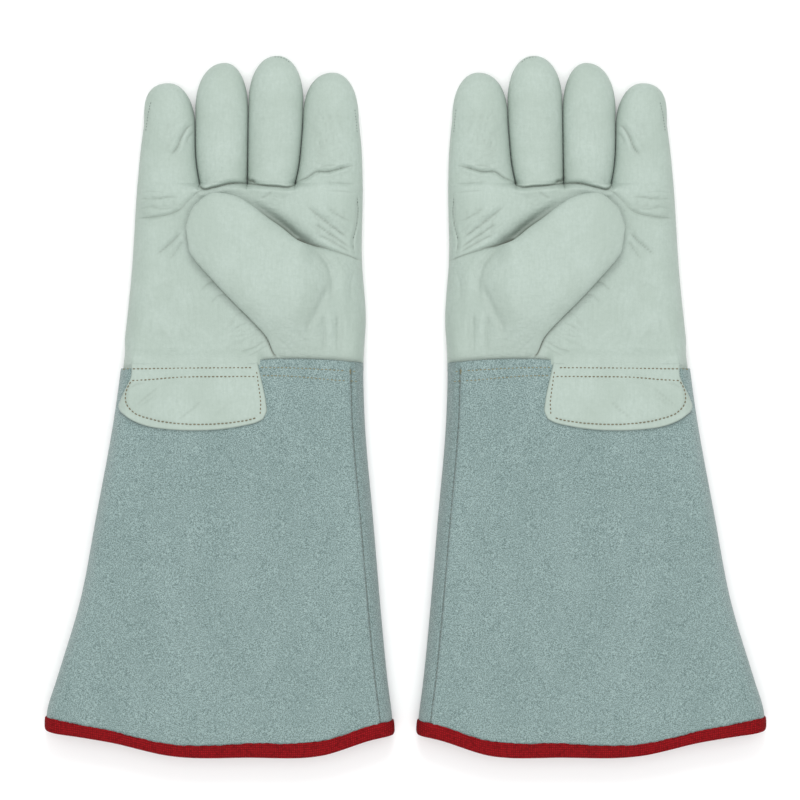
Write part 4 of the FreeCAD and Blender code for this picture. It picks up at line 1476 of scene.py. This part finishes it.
def lining_pieces():
    """Thin copies of the outside for the hidden insulation."""
    made = {}
    for name in NAMES:
        skin = Skin()
        grid, _ = finger_grid(name, inset=2.2, rows=40, relief=False)
        skin.add(f"{name}_insulation", grid, wrap=True)
        made.update(skin.pieces())
    y = np.linspace(SPLIT - 8, WRIST + 2, 50)[:, None]
    u = np.linspace(0, 1, 60)[None, :]
    low, high = palm_edges(y)
    x = low + 2.5 + (high - low - 5) * (0.5 - 0.5 * np.cos(np.pi * u))
    yy = np.broadcast_to(y, x.shape)
    rise = crowned(x, low, high, 12, 2.5)
    quilt = 0.5 * np.abs(np.sin(x * np.pi / 14)) * rise
    skin = Skin()
    skin.add("hand_insulation", np.stack([x, yy, MID + 2.6 * rise + quilt], -1)[::-1])
    skin.add("hand_insulation", np.stack([x, yy, MID - 6.6 * rise - quilt], -1)[::-1], flip=True)
    made.update(skin.pieces())
    return made


# ---- assembly ----

LEATHER_PIECES = hand_skin()
THUMB_PIECES = thumb_pieces()
CUFF_PIECES = cuff_pieces()
BINDING, BINDING_WEAVE = binding_piece()
PATCH = patch_piece()
PATCH_STITCHES, CUFF_STITCHES, SEAM_STITCHES = stitch_pieces()
LININGS = lining_pieces()
EDGE_THREADS = edge_stitches()
WRIST_FIBRES, HEM_FIBRES = fibre_pieces()


def bend_finger(obj):
    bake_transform(obj)


def bend_thumb(obj):
    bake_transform(obj)


def bend_wrist(obj):
    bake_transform(obj)


def turned_over(data):
    v, f, n, shade = data
    return v, f[:, ::-1], -n, shade


def upwards(data):
    return auto_orient(data, up=True)


def downwards(data):
    return turned_over(upwards(data))


def glove(side, mirror):
    def make(label, data, material, bend, weave=None, extra=False):
        """One piece. Unless it is an extra, it stands for the CAD node of the same name."""
        obj = build(f"{side}_{label}_visual", data, material, mirror)
        if weave is not None:
            keep(obj.data, "weave", weave)
        bend(obj)
        if not extra:
            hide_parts(f"{side}_{label}")

    def wrist(obj):
        bend_wrist(obj)

    def thumb(obj):
        bend_thumb(obj)

    def riding(body):
        return lambda obj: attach(obj, f"{side}_{body}")

    for name in NAMES:
        centre = np.array([sum(finger_edges(name, 180.0)) / 2, 175.0, MID])

        def root(obj):
            bend_finger(obj)

        for part in ("front", "back", "gusset"):
            data = auto_orient(LEATHER_PIECES[f"{name}_{part}"], centre)
            make(f"{name}_{part}", data, LEATHER, root)
        data = auto_orient(LININGS[f"{name}_insulation"], centre)
        make(f"{name}_insulation", data, LINING, root)
    leather, lining, suede = (LEATHER, "grain_leather"), (LINING, "insulation"), (SUEDE, "split_leather")
    in_hand, in_thumb = np.array([100.0, 85.0, MID]), np.array([110.0, 95.0, 31.0])
    in_cuff = np.array([110.0, -90.0, CUFF_MID])
    outer, inner = THUMB_PIECES["thumb_outer_panel"], THUMB_PIECES["thumb_inner_panel"]
    for label, data, (material, slot), bend, fill in (
        ("palm_panel", upwards(LEATHER_PIECES["palm"]), leather, wrist, 0.6),
        ("back_panel", downwards(LEATHER_PIECES["back"]), leather, wrist, 0.6),
        ("hand_insulation", auto_orient(LININGS["hand_insulation"], in_hand), lining, riding("hand"), 0.6),
        ("thumb_base", upwards(THUMB_PIECES["thumb_base"]), leather, wrist, 0.6),
        ("thumb_outer_panel", upwards(outer), leather, thumb, 0.7),
        ("thumb_inner_panel", downwards(inner), leather, thumb, 0.7),
        ("thumb_insulation", auto_orient(THUMB_PIECES["thumb_insulation"], in_thumb), lining, thumb, 0.7),
        ("cuff_front_panel", auto_orient(CUFF_PIECES["cuff_front_panel"], in_cuff), suede, wrist, 0.3),
        ("cuff_back_panel", auto_orient(CUFF_PIECES["cuff_back_panel"], in_cuff), suede, wrist, 0.3),
    ):
        make(label, data, material, bend)
    data = turned_over(auto_orient(CUFF_PIECES["cuff_insulation"], in_cuff))
    make("cuff_insulation", data, LINING, wrist)
    make("hem_binding", BINDING, TAPE, riding("cuff"), weave=BINDING_WEAVE)
    make("pulse_patch", PATCH, LEATHER, wrist)
    make("wrist_edge_fibres", WRIST_FIBRES, SUEDE, wrist, extra=True)
    make("hem_edge_fibres", HEM_FIBRES, SUEDE, riding("cuff"), extra=True)
    for body, (data, weave) in EDGE_THREADS.items():
        make(f"{body}_edge_thread", data, SEAM_THREAD, riding(body), weave=weave, extra=True)
    data, weave = PATCH_STITCHES
    make("patch_thread", data, PATCH_THREAD, wrist, weave=weave)
    data, weave = CUFF_STITCHES
    make("cuff_thread", data, THREAD, wrist, weave=weave)
    data, weave = SEAM_STITCHES
    make("side_seam_thread", data, SEAM_THREAD, wrist, weave=weave, extra=True)


glove("left", False)
glove("right", True)

# ---- stage ----

scene = bpy.context.scene
scene.view_settings.view_transform = "Standard"

FLOOR_HALF = 3.0
PAPER = rgb(0.93, 0.93, 0.93)
WORLD_COLOUR, WORLD_STRENGTH = rgb(1, 1, 1), 0.72
# name, place, width and power
LIGHTS = [
    ("overhead", (0.0, -0.15, 1.7), 1.6, 10.0),
    ("key", (0.0, 1.15, 1.35), 0.7, 10.0),
    ("fill", (0.0, -1.1, 1.5), 1.2, 6.0),
]
LENS, SENSOR = 120.0, 36.0  # mm
FRAME_WIDTH = 0.5136  # how much of the scene the picture takes in, in metres, at the height LEVEL
LEVEL = 0.012
CAMERA_AT = (-0.0035, 0.0048)

corners = [(-1, -1), (1, -1), (1, 1), (-1, 1)]
floor = bpy.data.meshes.new("floor")
floor.from_pydata([(FLOOR_HALF * x, FLOOR_HALF * y, 0) for x, y in corners], [], [(0, 1, 2, 3)])
floor = bpy.data.objects.new("floor", floor)
scene.collection.objects.link(floor)
paper = Surface("paper", Roughness=0.9, Specular_IOR_Level=0.1, Base_Color=PAPER)
floor.data.materials.append(paper.material)

world = bpy.data.worlds.new("studio")
scene.world = world
world.use_nodes = True
background = world.node_tree.nodes["Background"]
background.inputs["Color"].default_value = WORLD_COLOUR
background.inputs["Strength"].default_value = WORLD_STRENGTH

for name, place, size, power in LIGHTS:
    light = bpy.data.lights.new(name, "AREA")
    light.shape, light.size, light.energy = "DISK", size, power
    lamp = bpy.data.objects.new(name, light)
    lamp.location = place
    scene.collection.objects.link(lamp)
    direction = mathutils.Vector((0, place[1] * 0.15, 0)) - lamp.location
    lamp.rotation_mode = "QUATERNION"
    lamp.rotation_quaternion = direction.to_track_quat("-Z", "Y")

camera = bpy.data.objects.new("camera", bpy.data.cameras.new("camera"))
scene.collection.objects.link(camera)
camera.data.lens, camera.data.sensor_width = LENS, SENSOR
camera.data.clip_end = 20
camera.location = (*CAMERA_AT, LEVEL + FRAME_WIDTH * LENS / SENSOR)
scene.camera = camera
